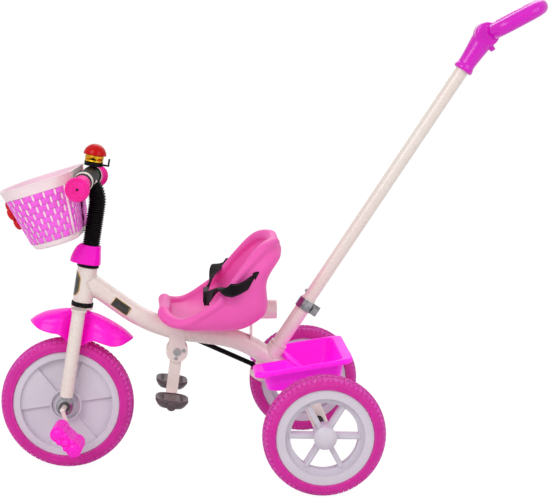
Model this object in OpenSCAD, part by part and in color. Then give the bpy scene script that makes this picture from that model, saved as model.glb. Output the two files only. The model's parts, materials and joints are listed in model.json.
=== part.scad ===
// Toddler push-along trike whose parent push bar steers the front wheel through a link rod.
// Millimetres. X runs to the rear, Y to the rider's right and Z up from the ground.

/* [Wheels] */
// Radius of the front wheel
front_wheel_r = 127; // [118:1:136]
// Radius of the rear wheels
rear_wheel_r = 112; // [104:1:118]
// Width of every tyre
tyre_w = 45; // [38:1:50]
// Radius where the front tyre sits on its rim
front_rim_r = 101; // [96:1:106]
// Radius where a rear tyre sits on its rim
rear_rim_r = 88; // [84:1:94]
// Radius of the tread's crown across the tyre
tread_crown_r = 32; // [30:1:90]
// Distance from the front axle to the rear axle
wheelbase = 472; // [468:1:480]
// Distance between the middles of the rear wheels
rear_track = 410; // [390:1:440]
// Width of a rim at its outer band
rim_w = 38; // [34:1:40]
// Radial depth of the front rim's outer band
front_band = 13; // [10:1:18]
// Thickness of the front rim's disc in its sunk sectors
front_disc_t = 14; // [10:1:20]
// Height of the raised sectors above the sunk ones
sector_step = 6; // [2:0.5:6]
// Radius of the front hub boss
front_hub_r = 30; // [26:1:34]
// Width of the front hub
front_hub_w = 50; // [44:1:52]
// Inner radius of a rear rim's band
rear_window_r = 62; // [56:1:68]
// Radial depth of a rear rim's flat outer ring
rear_ring = 16; // [10:1:20]
// Thickness of the sunk part of a rear rim's band
rear_web_t = 16; // [10:1:24]
// Width of a rear spoke
spoke_w = 9; // [7:0.5:12]
// Thickness of a rear spoke along the axle
spoke_t = 18; // [12:1:24]
// Width of the ridge along a spoke
spoke_ridge_w = 4; // [2:0.5:6]
// Height of the ridge along a spoke
spoke_ridge_h = 2; // [1:0.5:4]
// Radius of a rear hub
rear_hub_r = 19; // [16:1:20]
// Width of a rear hub
rear_hub_w = 42; // [36:1:44]
// Radius of a hub cap
hub_cap_r = 21.5; // [18:0.5:24]
// Height of a hub cap's dome
hub_cap_h = 10; // [6:0.5:14]

/* [Axles and crank] */
// Radius of both axles
axle_r = 5; // [4:0.5:6]
// Radius of a wheel bush
bush_r = 9; // [8:0.5:11]
// Crank length from the axle to the pedal pin
crank_len = 46; // [40:1:52]
// Angle of the left crank below the level, to the rear
crank_angle = 63; // [0:1:180]
// Radius of the crank rod and of the pedal pins
crank_r = 4; // [3:0.25:5]
// Distance of a crank arm from the middle of the wheel
crank_y = 66; // [60:1:72]
// Length of a pedal
pedal_len = 56; // [50:1:70]
// Radius of a pedal's two lobes
pedal_lobe_r = 14; // [12:0.5:18]
// Distance between the middles of a pedal's lobes
pedal_lobe_gap = 40; // [34:1:50]
// Width of a pedal at its waist
pedal_waist = 22; // [18:1:28]
// Slope of a pedal, front end up
pedal_tilt = 35; // [0:1:60]

/* [Head and fork] */
// Lean of the steering axis to the rear
steer_rake = 9.5; // [6:0.5:14]
// Steering angle at rest
steer_rest = -4.5; // [-10:0.5:10]
// Radius of the head tube
head_r = 18.75; // [18.75:0.25:20.5]
// Wall of the head tube
head_wall = 3; // [2:0.5:4]
// Length of the head tube
head_len = 68; // [60:1:80]
// Distance of the head tube's foot from the front axle, along the steering axis
head_foot = 198; // [190:1:206]
// Radius of the headset cups
cup_r = 20.75; // [19.5:0.25:22]
// Height of the lower cup
lower_cup_h = 8; // [6:0.5:10]
// Height of the upper cup
upper_cup_h = 6; // [4:0.5:8]
// Depth of a cup's spigot in the head tube
cup_spigot = 16; // [10:1:22]
// Radius of the steerer and stem tube
steerer_r = 11; // [10:0.25:12]
// Wall of the steerer and handlebar tubes
stem_wall = 1.8; // [1.2:0.1:2.5]
// Thickness of the fork crown
crown_t = 4; // [3:0.5:6]
// Distance of a fork leg from the middle
leg_y = 38; // [36:0.5:42]
// Radius of a fork leg
leg_r = 12.5; // [11:0.25:13.5]
// Wall of a fork leg
leg_wall = 2; // [1.5:0.25:3]
// Distance of a leg's foot above the axle
leg_foot = 20; // [18:1:28]
// Radius of a dropout's eye
dropout_r = 16.5; // [14:0.5:19]
// Width of a dropout's neck
dropout_neck = 20; // [16:1:24]
// Thickness of a dropout
dropout_t = 5; // [4:0.5:7]
// Distance of the link pins from the steering and push axes
link_arm = 34; // [32:1:38]

/* [Mudguard and fairing] */
// Radius of the mudguard's arc
guard_r = 144; // [138:1:152]
// Half of the mudguard's arc
guard_half_angle = 42; // [34:1:48]
// Distance of the arc's middle behind the steering axis
guard_x = 6.5; // [0:0.5:12]
// Half width at the fork legs
guard_half_w = 56; // [54:1:62]
// Half width at the tips
guard_tip_half_w = 26; // [18:1:34]
// Depth of the side skirts at the fork legs
guard_skirt = 50; // [36:1:54]
// Depth of the skirts at the tips
guard_tip_skirt = 5; // [3:1:12]
// Wall of the mudguard and the fairing
guard_wall = 2.5; // [2:0.25:4]
// Height of the fairing
fairing_h = 36; // [30:1:44]
// Radius of the fairing's foot
fairing_r = 23; // [22:0.5:26]
// Reach of the fairing's visor in front of its foot
visor_reach = 12; // [6:1:18]

/* [Handlebar] */
// Straight length of the stem above the fairing
stem_rise = 77; // [60:1:90]
// Bend radius of the stem
stem_bend_r = 53; // [45:1:65]
// Bend of the stem to the front
stem_bend = 40; // [30:1:50]
// Distance from the end of the bend to the bar
stem_reach = 18; // [17:0.5:24]
// Radius of the bellows over its ribs
bellows_r = 16.5; // [15:0.5:18]
// Depth of the bellows' grooves
bellows_groove = 2.4; // [1.5:0.1:3]
// Number of ribs
bellows_ribs = 28; // [16:1:40]
// Length of the handlebar, tip to tip
bar_len = 268; // [250:1:300]
// Half of the straight middle of the bar
bar_mid = 40; // [34:1:44]
// Droop of the bar's arms
bar_droop = 6; // [2:0.5:10]
// Radius of the black sleeve
sleeve_r = 16; // [14.5:0.5:18]
// Length of a grip
grip_len = 58; // [50:1:62]
// Radius of a grip
grip_r = 15.5; // [13.5:0.5:17]
// Radius of a grip's end disc
grip_disc_r = 22.5; // [20:0.5:25]
// Thickness of a grip's end disc
grip_disc_t = 7; // [5:0.5:10]

/* [Bell] */
// Distance of the bell from the middle of the bar
bell_y = 53; // [50:0.5:53]
// Radius of the dome
bell_dome_r = 22; // [19:0.5:24]
// Height of the dome
bell_dome_h = 21; // [16:0.5:22]
// Radius of the ring under the dome
bell_ring_r = 17.7; // [15:0.1:19]
// Height of the ring
bell_ring_h = 13; // [10:0.5:16]
// Height of the base
bell_base_h = 8; // [7:0.5:10]
// Reach of the thumb lever from the bell's axis
bell_lever_reach = 30; // [26:1:34]
// Height of the lever's thumb tab
bell_tab_h = 15; // [10:0.5:18]
// Width of the lever
bell_lever_w = 7; // [5:0.5:9]

/* [Front basket] */
// Length of the basket's rim
basket_top_l = 122; // [110:1:130]
// Width of the basket's rim
basket_top_w = 214; // [196:1:230]
// Length of the basket's floor
basket_low_l = 72; // [62:1:84]
// Width of the basket's floor
basket_low_w = 172; // [150:1:190]
// Bow of the basket's front in plan
basket_bow = 22; // [8:1:28]
// Height of the basket
basket_h = 122; // [105:1:130]
// Tilt of the rim, front edge down, from the fork's cross line
basket_tilt = 26.5; // [18:0.5:30]
// Distance of the rear rim in front of the steering axis
basket_back = 49; // [48.5:0.5:56]
// Height of the rear rim over the handlebar
basket_over = 15; // [6:1:24]
// Wall of the basket
basket_wall = 3; // [2:0.25:4]
// Height of the rim band
basket_band = 20; // [14:1:26]
// Distance of a strap ring from the middle of the bar
strap_ring_y = 63; // [62:0.5:68]
// Width of a strap ring
strap_ring_w = 9; // [6:1:10]
// Wall of a strap ring
strap_ring_wall = 2; // [1.5:0.25:3]
// Radius of the flower's petals
petal_r = 12; // [8:0.5:14]
// Radius of the ring that the petals sit on
petal_ring_r = 19; // [13:0.5:20]
// Thickness of the flower
flower_t = 8; // [4:0.5:8]

/* [Frame] */
// Radius of the main tube
main_r = 18.5; // [17:0.5:18.5]
// Wall of the main tube
main_wall = 2; // [1.5:0.25:3]
// Distance of the main tube's joint below the head tube's top
main_drop = 25; // [22:1:32]
// Slope of the main tube at the head
main_head_slope = 37; // [34:0.5:40]
// Straight length from the head
main_run_1 = 89; // [84:1:94]
// Radius of the upper bend
main_bend_r_1 = 267; // [255:1:280]
// Slope under the seat
main_seat_slope = 8.5; // [6:0.5:11]
// Straight length under the seat
main_run_2 = 59; // [54:1:64]
// Radius of the lower bend
main_bend_r_2 = 180; // [170:1:190]
// Slope of the tail
main_tail_slope = 39.3; // [37:0.1:41]
// Straight length of the tail, to the middle of the hoop
main_tail = 103; // [98:1:106]
// Distance from the lower bend to the push socket, along the tail
socket_at = 11.5; // [8:0.5:15]
// Radius of the rear hoop's tube
hoop_r = 15; // [13:0.5:16]
// Wall of the hoop's tube
hoop_wall = 2; // [1.5:0.25:3]
// Distance of a hoop leg from the middle
hoop_y = 95; // [88:1:105]
// Bend radius of the hoop
hoop_bend_r = 22; // [18:1:24]
// Length of a hoop leg beyond the axle
hoop_over = 13; // [10:1:16]
// Radius of the seat rail
rail_r = 18; // [16:0.5:19]
// Wall of the seat rail
rail_wall = 2; // [1.5:0.25:3]
// Length of the seat rail
rail_len = 51; // [44:1:60]
// Position of the rail's rear end behind the front axle
rail_end_x = 401; // [396:1:406]
// Height of the rail's axis
rail_z = 302; // [298:0.5:306]
// Thickness of the rail's gusset
gusset_t = 4; // [3:0.5:6]
// Width of the gusset
gusset_w = 30; // [24:1:34]

/* [Push bar] */
// Lean of the push bar to the rear
push_lean = 33.6; // [30:0.1:38]
// Distance of the driver's foot below the main tube, along the push axis
push_foot = 46; // [44:1:50]
// Radius of the fixed socket
socket_r = 17; // [16.5:0.25:17]
// Length of the fixed socket
socket_len = 54; // [50:1:58]
// Distance of the socket's foot above the driver's foot
socket_foot = 23; // [22:0.5:26]
// Radius of the turning driver tube
driver_r = 14; // [13:0.25:15]
// Length of the driver tube
driver_len = 186; // [170:1:200]
// Radius of the push tube
push_r = 12.5; // [11.5:0.25:13]
// Wall of the push tube
push_wall = 1.5; // [1.2:0.1:2]
// Depth of the push tube in the driver
push_depth = 90; // [70:1:110]
// Length of the push tube
push_len = 678; // [600:1:720]
// Radius of the handle's sleeve
handle_sleeve_r = 15.5; // [14.5:0.5:18]
// Length of the handle's sleeve
handle_sleeve = 70; // [56:1:84]
// Radius of the handle's grip
handle_grip_r = 12; // [11:0.5:14]
// Rise of the handle's loop above the level
handle_rise = 28; // [20:1:40]
// Length of the loop between the middles of its bars
loop_l = 100; // [85:1:115]
// Width of the loop between the middles of its bars
loop_w = 96; // [80:1:115]
// Corner radius of the loop
loop_corner = 30; // [22:1:36]
// Height of the clamp band
clamp_h = 20; // [16:1:24]
// Thickness of the clamp band
clamp_t = 2.5; // [2:0.25:4]
// Radius of the clamp's bolt
clamp_bolt_r = 3; // [2.5:0.25:4]
// Radius of the link rod
link_r = 4.75; // [3.5:0.25:5]

/* [Seat] */
// Position of the seat's front edge behind the front axle
seat_front_x = 183; // [178:1:190]
// Height of the seat's pan
seat_pan_z = 288; // [286:0.5:291]
// Height of the backrest's top
seat_top_z = 452; // [430:1:470]
// Position of the backrest's top
seat_top_x = 398; // [385:1:410]
// Half width of the pan
seat_half_w = 122; // [110:1:130]
// Height of the side walls at the hips
seat_side = 66; // [50:1:75]
// Wall of the seat
seat_wall = 4; // [3:0.25:5]
// Width of the belt's webbing
belt_w = 25; // [20:1:28]
// Thickness of the webbing
belt_t = 2; // [1.5:0.25:2.5]

/* [Rear bin] */
// Position of the bin's front edge behind the front axle
bin_front_x = 354; // [351:1:357]
// Length of the bin at its rim
bin_l = 184; // [176:1:192]
// Width of the bin at its rim
bin_w = 202; // [190:1:214]
// Height of the front rim
bin_front_z = 200; // [198:0.5:202]
// Rise of the rim to the rear
bin_rise = 8.5; // [5:0.5:11]
// Slope of the bin's walls
bin_draft = 12; // [6:0.5:15]
// Wall of the bin
bin_wall = 2.5; // [2:0.25:3.5]
// Reach of the bin's rim
bin_rim = 5; // [3:0.5:8]
// Half width of the recess round the frame, at its front
recess_half_w = 46; // [45:0.5:50]
// Half width of the recess at its rear
recess_rear_half_w = 26; // [24:0.5:30]

/* [Footrest] */
// Position of the pivot behind the front axle
foot_pivot_x = 210; // [206:1:214]
// Height of the pivot
foot_pivot_z = 225; // [222:0.5:228]
// Radius of the bracket's discs
bracket_r = 20.5; // [18:0.5:22]
// Thickness of a bracket plate
bracket_t = 4; // [3:0.5:5]
// Width of the gap between the plates
bracket_gap = 26; // [24:0.5:28]
// Width of the folding leg
foot_leg_w = 22; // [18:1:26]
// Length of the leg from the pivot to the cross bar
foot_leg_len = 84; // [76:1:92]
// Lean of the leg to the front
foot_lean = 8; // [4:0.5:12]
// Length of a pad, front to rear
pad_l = 62; // [54:1:70]
// Width of a pad
pad_w = 62; // [54:1:64]
// Thickness of a pad
pad_t = 18; // [14:1:20]
// Distance of a pad's middle from the trike's middle
pad_y = 71; // [70:1:76]

/* [Hidden] */
$fn = 64;
cut = 2;
fit = 0.15;
run_fit = 0.05;
gap = 0.4;
link_play = 1;
segments_fine = 96;

// Pins, bolts and small fittings
pin_r = 4;
pin_spacer_r = 6;
link_eye_r = 8;
link_eye_h = 8;
lever_t = 4;
bolt_r = 3;
bolt_head_r = 5.5;
bolt_head_h = 3.5;
washer_h = 1.2;
nut_h = 4.5;
pivot_bolt_r = 4;
pivot_head_h = 3;
pivot_head_r = 7;
cap_wall = 2;
spoke_turn = -2;
sector_turn = 18;
plate_t = 1;
tab_t = 3;

// Steering stack, along the steering axis from the front axle
crown_top = head_foot - lower_cup_h - gap;
crown_low = crown_top - crown_t;
head_top = head_foot + head_len;
cup_top = head_top + upper_cup_h;
fairing_low = cup_top + gap;
fairing_top = fairing_low + fairing_h;
bellows_low = fairing_top + fit;
stem_top = bellows_low + stem_rise;
bend_end_x = -stem_bend_r * (1 - cos(stem_bend));
bend_end_z = stem_top + stem_bend_r * sin(stem_bend);
bar_x = bend_end_x - stem_reach * sin(stem_bend);
bar_z = bend_end_z + stem_reach * cos(stem_bend);
bellows_stop = stem_reach - sleeve_r - gap;
arm_len = (bar_len / 2 - bar_mid) / cos(bar_droop);
sleeve_arm = arm_len - grip_len - fit;
grip_end_wall = 3;
grip_end_hole_r = 2.5;
guard_arc_z = crown_low - guard_wall - gap - guard_r;
guard_boss_r = 9;
axle_z = rear_wheel_r;

// Main tube, as points of its middle line in the side plane
main_start = [(head_top - main_drop) * sin(steer_rake),
              front_wheel_r + (head_top - main_drop) * cos(steer_rake)];
main_1 = main_start + main_run_1 * [cos(main_head_slope), -sin(main_head_slope)];
main_2 = main_1 + main_bend_r_1 * [sin(main_head_slope) - sin(main_seat_slope),
                                  cos(main_head_slope) - cos(main_seat_slope)];
main_3 = main_2 + main_run_2 * [cos(main_seat_slope), -sin(main_seat_slope)];
main_4 = main_3 + main_bend_r_2 * [sin(main_tail_slope) - sin(main_seat_slope),
                                  cos(main_tail_slope) - cos(main_seat_slope)];
tail_dir = [cos(main_tail_slope), -sin(main_tail_slope)];
socket_point = main_4 + socket_at * tail_dir;
crown_point = main_4 + main_tail * tail_dir;
hoop_drop = norm([wheelbase, axle_z] - crown_point);
hoop_lean = atan2(wheelbase - crown_point[0], crown_point[1] - axle_z);
push_dir = [sin(push_lean), cos(push_lean)];
foot_point = socket_point - push_foot * push_dir;

// Push bar, along the push axis from the driver's foot
lever_low = 4;
link_rear_z = lever_low + lever_t + link_play + link_eye_h / 2;
driver_flange_low = socket_foot + socket_len + gap;
driver_flange_h = 5;
clamp_low = driver_len - clamp_h - lever_t;
push_low = driver_len - push_depth;
push_top = push_low + push_len;
handle_low = push_top - handle_sleeve + cut;
handle_point = foot_point + (push_top + handle_grip_r) * push_dir;
loop_start = handle_grip_r;
button_z = driver_len + clamp_h / 2;
button_r = 3.4;
button_h = 3;
handle_end_x = handle_point[0] + (loop_start + loop_l) * cos(handle_rise) + handle_grip_r;
origin_x = (handle_end_x - front_wheel_r) / 2;

// Link rod pins
link_front_z = crown_top + pin_spacer_r * 2 + link_eye_h / 2 + 2 * gap;

// Small shares of the sizes that they follow
waist_flat_share = 0.5;
hub_lip_share = 0.62;
sector_inner_share = 0.1;
visor_share = 0.45;
fairing_top_share = 0.76;
flower_heart_share = 0.8;
saddle_share = 1.2;
buckle_shares = [0.39, 0.25];
belt_slot_shares = [0.79, 0.66, 0.58];
belt_tail_share = 1.09;
belt_middle_share = 0.5;
rivet_place_shares = [[0.62, 0.1], [-0.1, -0.62]];

function flatten(rows) = [for (row = rows) each row];
function mix(a, b, t) = a + (b - a) * t;
function smooth(t) = t * t * (3 - 2 * t);
function blend4(a, b, c, d, f) =
    b + (c - a) * f / 2 + (2 * a - 5 * b + 4 * c - d) * f * f / 2 + (3 * b - a - 3 * c + d) * f * f * f / 2;
// Row of a table at s, counted in rows, on a smooth curve through the rows
function on_curve(table, s) =
    let (last = len(table) - 1, i = min(floor(s), last - 1))
    blend4(table[max(i - 1, 0)], table[i], table[i + 1], table[min(i + 2, last)], s - i);
function unit(v) = v / norm(v);
// Surface directions of a grid of points, square to both of its lines
function grid_normal(g, i, j) =
    let (n = len(g) - 1, m = len(g[0]) - 1)
    unit(cross(g[min(i + 1, n)][j] - g[max(i - 1, 0)][j], g[i][min(j + 1, m)] - g[i][max(j - 1, 0)]));
function grid_offset(g, d) =
    [for (i = [0:len(g) - 1]) [for (j = [0:len(g[0]) - 1]) g[i][j] + d * grid_normal(g, i, j)]];
// Rounded rectangle of points about the origin, bowed to the front
function plan_ring(l, w, r, bow, steps) =
    [for (c = [0:3]) each concat(
        [for (k = [0:steps]) let (
            a = c * 90 + k * 90 / steps,
            x = (c == 0 || c == 3 ? 1 : -1) * (l / 2 - r) + r * cos(a),
            y = (c < 2 ? 1 : -1) * (w / 2 - r) + r * sin(a))
            [x - (x < 0 ? bow * cos(180 * y / w) : 0), y]],
        c == 1 ? [for (k = [1:steps - 1]) let (y = (w / 2 - r) * (1 - 2 * k / steps))
            [-l / 2 - bow * cos(180 * y / w), y]] : [])];

// Solid between two grids of points, the outer one first; rows run along the piece
module shell_solid(outer, inner) {
    n = len(outer);
    m = len(outer[0]);
    second = n * m;
    function at(i, j) = i * m + j;
    sheet = [for (i = [0:n - 2]) for (j = [0:m - 2])
        each [[at(i, j), at(i + 1, j), at(i + 1, j + 1)], [at(i, j), at(i + 1, j + 1), at(i, j + 1)]]];
    back = [for (f = sheet) [for (k = [2:-1:0]) f[k] + second]];
    edge = concat([for (i = [0:n - 1]) at(i, 0)], [for (j = [1:m - 1]) at(n - 1, j)],
                  [for (i = [n - 2:-1:0]) at(i, m - 1)], [for (j = [m - 2:-1:1]) at(0, j)]);
    count = len(edge);
    wall = [for (k = [0:count - 1]) let (a = edge[k], b = edge[(k + 1) % count])
        each [[b, a, a + second], [b, a + second, b + second]]];
    polyhedron(concat(flatten(outer), flatten(inner)), concat(sheet, back, wall));
}

// Solid through closed rings of points, with its ends closed
module ring_solid(rings) {
    n = len(rings);
    m = len(rings[0]);
    side = [for (i = [0:n - 2]) for (j = [0:m - 1]) let (k = (j + 1) % m)
        each [[i * m + j, (i + 1) * m + j, (i + 1) * m + k], [i * m + j, (i + 1) * m + k, i * m + k]]];
    polyhedron(flatten(rings), concat(side, [[for (j = [0:m - 1]) j]],
                                      [[for (j = [m - 1:-1:0]) (n - 1) * m + j]]));
}

// Hollow body of rings that run up the outside and down the inside, closed into a tube
module ring_tube(rings) {
    n = len(rings);
    m = len(rings[0]);
    polyhedron(flatten(rings), [for (i = [0:n - 1]) for (j = [0:m - 1])
        let (k = (j + 1) % m, u = (i + 1) % n)
        each [[i * m + j, u * m + j, u * m + k], [i * m + j, u * m + k, i * m + k]]]);
}

module placed() {
    translate([-origin_x, 0, 0]) children();
}

module head_frame() {
    placed() translate([0, 0, front_wheel_r]) rotate([0, steer_rake, 0]) children();
}

module steered() {
    head_frame() rotate([0, 0, steer_rest]) children();
}

module push_frame() {
    placed() translate([foot_point[0], 0, foot_point[1]]) rotate([0, push_lean, 0]) children();
}

module push_turned() {
    push_frame() rotate([0, 0, steer_rest]) children();
}

// Turns a shape about Z into one about Y, seen with +X right and +Z up
module wheel_plane() {
    rotate([90, 0, 0]) children();
}

module ring(r, hole, h) {
    difference() {
        cylinder(r = r, h = h);
        translate([0, 0, -cut]) cylinder(r = hole, h = h + 2 * cut);
    }
}

module centred_ring(r, hole, h) {
    translate([0, 0, -h / 2]) ring(r, hole, h);
}

module rod(a, b, r) {
    v = b - a;
    translate(a) rotate([0, acos(v[2] / norm(v)), atan2(v[1], v[0])]) cylinder(r = r, h = norm(v));
}

// Straight and bent stretches of a round bar in the XY plane, along +X
module straight_bar(r, l) {
    rotate([0, 90, 0]) cylinder(r = r, h = l);
}

module bend_left(r, bend_r, turn) {
    translate([0, bend_r, 0]) rotate([0, 0, -90]) rotate_extrude(angle = turn)
        translate([bend_r, 0]) circle(r);
}

module bend_right(r, bend_r, turn) {
    translate([0, -bend_r, 0]) rotate([0, 0, 90 - turn]) rotate_extrude(angle = turn)
        translate([bend_r, 0]) circle(r);
}

// Places at the end of a bend
module after_left(bend_r, turn) {
    translate([0, bend_r, 0]) rotate([0, 0, turn]) translate([0, -bend_r, 0]) children();
}

module after_right(bend_r, turn) {
    mirror([0, 1, 0]) after_left(bend_r, turn) mirror([0, 1, 0]) children();
}

// Frame

module head_tube() {
    color("linen") head_frame() translate([0, 0, head_foot]) ring(head_r, head_r - head_wall, head_len);
}

module headset_cup(h) {
    difference() {
        union() {
            cylinder(r = cup_r, h = h);
            cylinder(r = head_r - head_wall - fit, h = h + cup_spigot);
        }
        translate([0, 0, -cut]) cylinder(r = steerer_r + run_fit, h = h + cup_spigot + 2 * cut);
    }
}

module headset_cups() {
    color("black") head_frame() {
        translate([0, 0, head_foot - lower_cup_h]) headset_cup(lower_cup_h);
        translate([0, 0, cup_top]) mirror([0, 0, 1]) headset_cup(upper_cup_h);
    }
}

module main_line(r) {
    translate(main_start) rotate([0, 0, -main_head_slope]) {
        straight_bar(r, main_run_1);
        translate([main_run_1, 0, 0]) {
            bend_left(r, main_bend_r_1, main_head_slope - main_seat_slope);
            after_left(main_bend_r_1, main_head_slope - main_seat_slope) {
                straight_bar(r, main_run_2);
                translate([main_run_2, 0, 0]) {
                    bend_right(r, main_bend_r_2, main_tail_slope - main_seat_slope);
                    after_right(main_bend_r_2, main_tail_slope - main_seat_slope) straight_bar(r, main_tail);
                }
            }
        }
    }
}

// Main tube with the saddle block that carries the seat
module main_tube() {
    saddle = [seat_saddle_l, seat_saddle_w, seat_saddle_top - seat_saddle_low];
    color("linen") difference() {
        placed() union() {
            wheel_plane() main_line(main_r);
            translate([seat_saddle_x - saddle[0] / 2, -saddle[1] / 2, seat_saddle_low]) cube(saddle);
        }
        placed() wheel_plane() main_line(main_r - main_wall);
        head_frame() translate([0, 0, head_foot - cut]) cylinder(r = head_r, h = head_len + 2 * cut);
        push_frame() cylinder(r = socket_r, h = driver_len);
        hoop_frame() wheel_plane_x() hoop_crown(hoop_r);
        seat_bolt_places() translate([0, 0, -seat_bolt_depth - cut])
            cylinder(r = bolt_r + fit, h = seat_bolt_depth + 2 * cut);
    }
}

module push_socket() {
    color("linen") push_frame() translate([0, 0, socket_foot]) ring(socket_r, driver_r + run_fit, socket_len);
}

// Frame at the middle of the hoop's crown, with -Z along its legs
module hoop_frame() {
    placed() translate([crown_point[0], 0, crown_point[1]]) rotate([0, -hoop_lean, 0]) children();
}

module wheel_plane_x() {
    rotate([90, 0, 90]) children();
}

module hoop_crown(r) {
    crown_l = hoop_y - hoop_bend_r;
    translate([-crown_l, 0, 0]) straight_bar(r, 2 * crown_l);
}

module hoop_line(r, extra) {
    crown_l = hoop_y - hoop_bend_r;
    leg_l = hoop_drop - hoop_bend_r + hoop_over + extra;
    hoop_crown(r);
    for (side = [0, 1]) mirror([side, 0, 0]) {
        translate([crown_l, 0, 0]) bend_right(r, hoop_bend_r, 90);
        translate([hoop_y, -hoop_bend_r, 0]) rotate([0, 0, -90]) straight_bar(r, leg_l);
    }
}

module rear_hoop() {
    color("linen") difference() {
        hoop_frame() wheel_plane_x() difference() {
            hoop_line(hoop_r, 0);
            hoop_line(hoop_r - hoop_wall, cut);
        }
        placed() translate([wheelbase, 0, axle_z]) wheel_plane()
            cylinder(r = axle_r + fit, h = rear_track, center = true);
        placed() bin_bolt_places() cylinder(r = bolt_r + fit, h = 2 * hoop_r);
    }
}

module rear_axle() {
    axle_l = rear_track + rear_hub_w - 2 * gap;
    color("silver") placed() translate([wheelbase, 0, axle_z]) wheel_plane()
        cylinder(r = axle_r, h = axle_l, center = true);
}

// Black spacers on the axle between the hoop's legs and the hubs
module axle_spacers() {
    inner = hoop_y + hoop_r + gap;
    outer = (rear_track - rear_hub_w) / 2 - gap;
    color("dimgray") placed() translate([wheelbase, 0, axle_z]) for (side = [0, 1]) mirror([0, side, 0])
        translate([0, inner, 0]) rotate([-90, 0, 0]) ring(bush_r, axle_r + fit, outer - inner);
}

// Stub of the seat rail on the plate that carries it over the main tube
rail_x = rail_end_x - rail_len;
gusset_slope = asin(sin(main_seat_slope) + (rail_x - main_3[0]) / main_bend_r_2);
gusset_low = main_3[1] - main_bend_r_2 * (cos(main_seat_slope) - cos(gusset_slope));

module seat_rail() {
    color("linen") placed() difference() {
        union() {
            translate([rail_x, 0, rail_z]) rotate([0, 90, 0]) cylinder(r = rail_r, h = rail_len);
            translate([rail_x, -gusset_w / 2, gusset_low]) cube([gusset_t, gusset_w, rail_z - gusset_low]);
        }
        translate([rail_x - cut, 0, rail_z]) rotate([0, 90, 0])
            cylinder(r = rail_r - rail_wall, h = rail_len + 2 * cut);
        wheel_plane() main_line(main_r);
    }
}

// Saddle block between the main tube and the seat's pan
seat_saddle_x = mix(main_2[0], main_3[0], waist_flat_share);
seat_saddle_l = 44;
seat_saddle_w = 30;
seat_saddle_top = seat_pan_z - seat_wall - fit;
seat_saddle_low = seat_saddle_top - main_r * saddle_share;
seat_bolt_depth = 5;

module seat_bolt_places() {
    placed() for (end = [-1, 1]) translate([seat_saddle_x + end * seat_saddle_l / 4, 0, seat_saddle_top])
        children();
}

module seat_bolts() {
    color("silver") seat_bolt_places() {
        translate([0, 0, 2 * gap + seat_wall]) cylinder(r = bolt_head_r, h = bolt_head_h);
        translate([0, 0, -seat_bolt_depth]) cylinder(r = bolt_r, h = 2 * gap + seat_wall + seat_bolt_depth);
    }
}

// Steering

module fork_crown() {
    lobe_r = leg_r + crown_t / 2;
    color("linen") steered() translate([0, 0, crown_low]) difference() {
        linear_extrude(crown_t) {
            circle(cup_r);
            square([2 * leg_r, 2 * leg_y], center = true);
            for (side = [-1, 1]) translate([0, side * leg_y]) circle(lobe_r);
        }
        translate([0, 0, -cut]) cylinder(r = steerer_r + fit, h = crown_t + 2 * cut);
    }
}

module fork_legs() {
    color("linen") steered() for (side = [-1, 1]) translate([0, side * leg_y, leg_foot]) difference() {
        cylinder(r = leg_r, h = crown_low - leg_foot);
        translate([0, 0, 2 * leg_wall]) cylinder(r = leg_r - leg_wall, h = crown_low);
    }
}

module dropouts() {
    color("silver") steered() for (side = [-1, 1])
        translate([0, side * leg_y, 0]) wheel_plane() difference() {
        linear_extrude(dropout_t, center = true) {
            circle(dropout_r);
            translate([-dropout_neck / 2, 0]) square([dropout_neck, leg_foot]);
        }
        cylinder(r = bush_r, h = 2 * dropout_t, center = true);
    }
}

// Flanged bushes that carry the crank axle in the dropouts
module fork_bushes() {
    flange_out = front_hub_w / 2 + gap;
    flange_in = leg_y - dropout_t / 2;
    color("black") steered() for (side = [0, 1]) mirror([0, side, 0]) rotate([-90, 0, 0]) difference() {
        union() {
            translate([0, 0, flange_out]) cylinder(r = bush_r + cap_wall, h = flange_in - flange_out - fit);
            translate([0, 0, flange_out]) cylinder(r = bush_r - fit, h = leg_y + dropout_t - flange_out);
        }
        translate([0, 0, -cut]) cylinder(r = axle_r + run_fit, h = leg_y + dropout_t + 2 * cut);
    }
}

module stem_line(r) {
    translate([0, stem_top]) rotate([0, 0, 90]) {
        translate([crown_low - stem_top, 0, 0]) straight_bar(r, stem_top - crown_low);
        bend_left(r, stem_bend_r, stem_bend);
        after_left(stem_bend_r, stem_bend) straight_bar(r, stem_reach);
    }
}

module steerer_stem() {
    color("linen") steered() difference() {
        wheel_plane() stem_line(steerer_r);
        wheel_plane() stem_line(steerer_r - stem_wall);
        translate([0, 0, crown_low - cut]) cylinder(r = steerer_r - stem_wall, h = 2 * cut);
        translate([bar_x, 0, bar_z]) wheel_plane() cylinder(r = steerer_r + fit, h = bar_len, center = true);
    }
}

// Middle line of the bellows: height, offset to the front and turn at a distance from its foot
function bellows_at(s) =
    let (rise = stem_top - bellows_low, over = s - rise, turn_len = stem_bend_r * stem_bend * PI / 180)
    over <= 0 ? [0, bellows_low + s, 0]
    : over <= turn_len ? let (a = over / turn_len * stem_bend)
        [-stem_bend_r * (1 - cos(a)), stem_top + stem_bend_r * sin(a), a]
    : [bend_end_x - (over - turn_len) * sin(stem_bend),
       bend_end_z + (over - turn_len) * cos(stem_bend), stem_bend];
bellows_len = stem_top - bellows_low + stem_bend_r * stem_bend * PI / 180 + bellows_stop;
bellows_sides = 16;
function bellows_ring(s, r) =
    let (p = bellows_at(s))
    [for (k = [0:bellows_sides - 1]) let (a = 360 * k / bellows_sides)
        [p[0] + r * cos(a) * cos(p[2]), r * sin(a), p[1] + r * cos(a) * sin(p[2])]];

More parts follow.
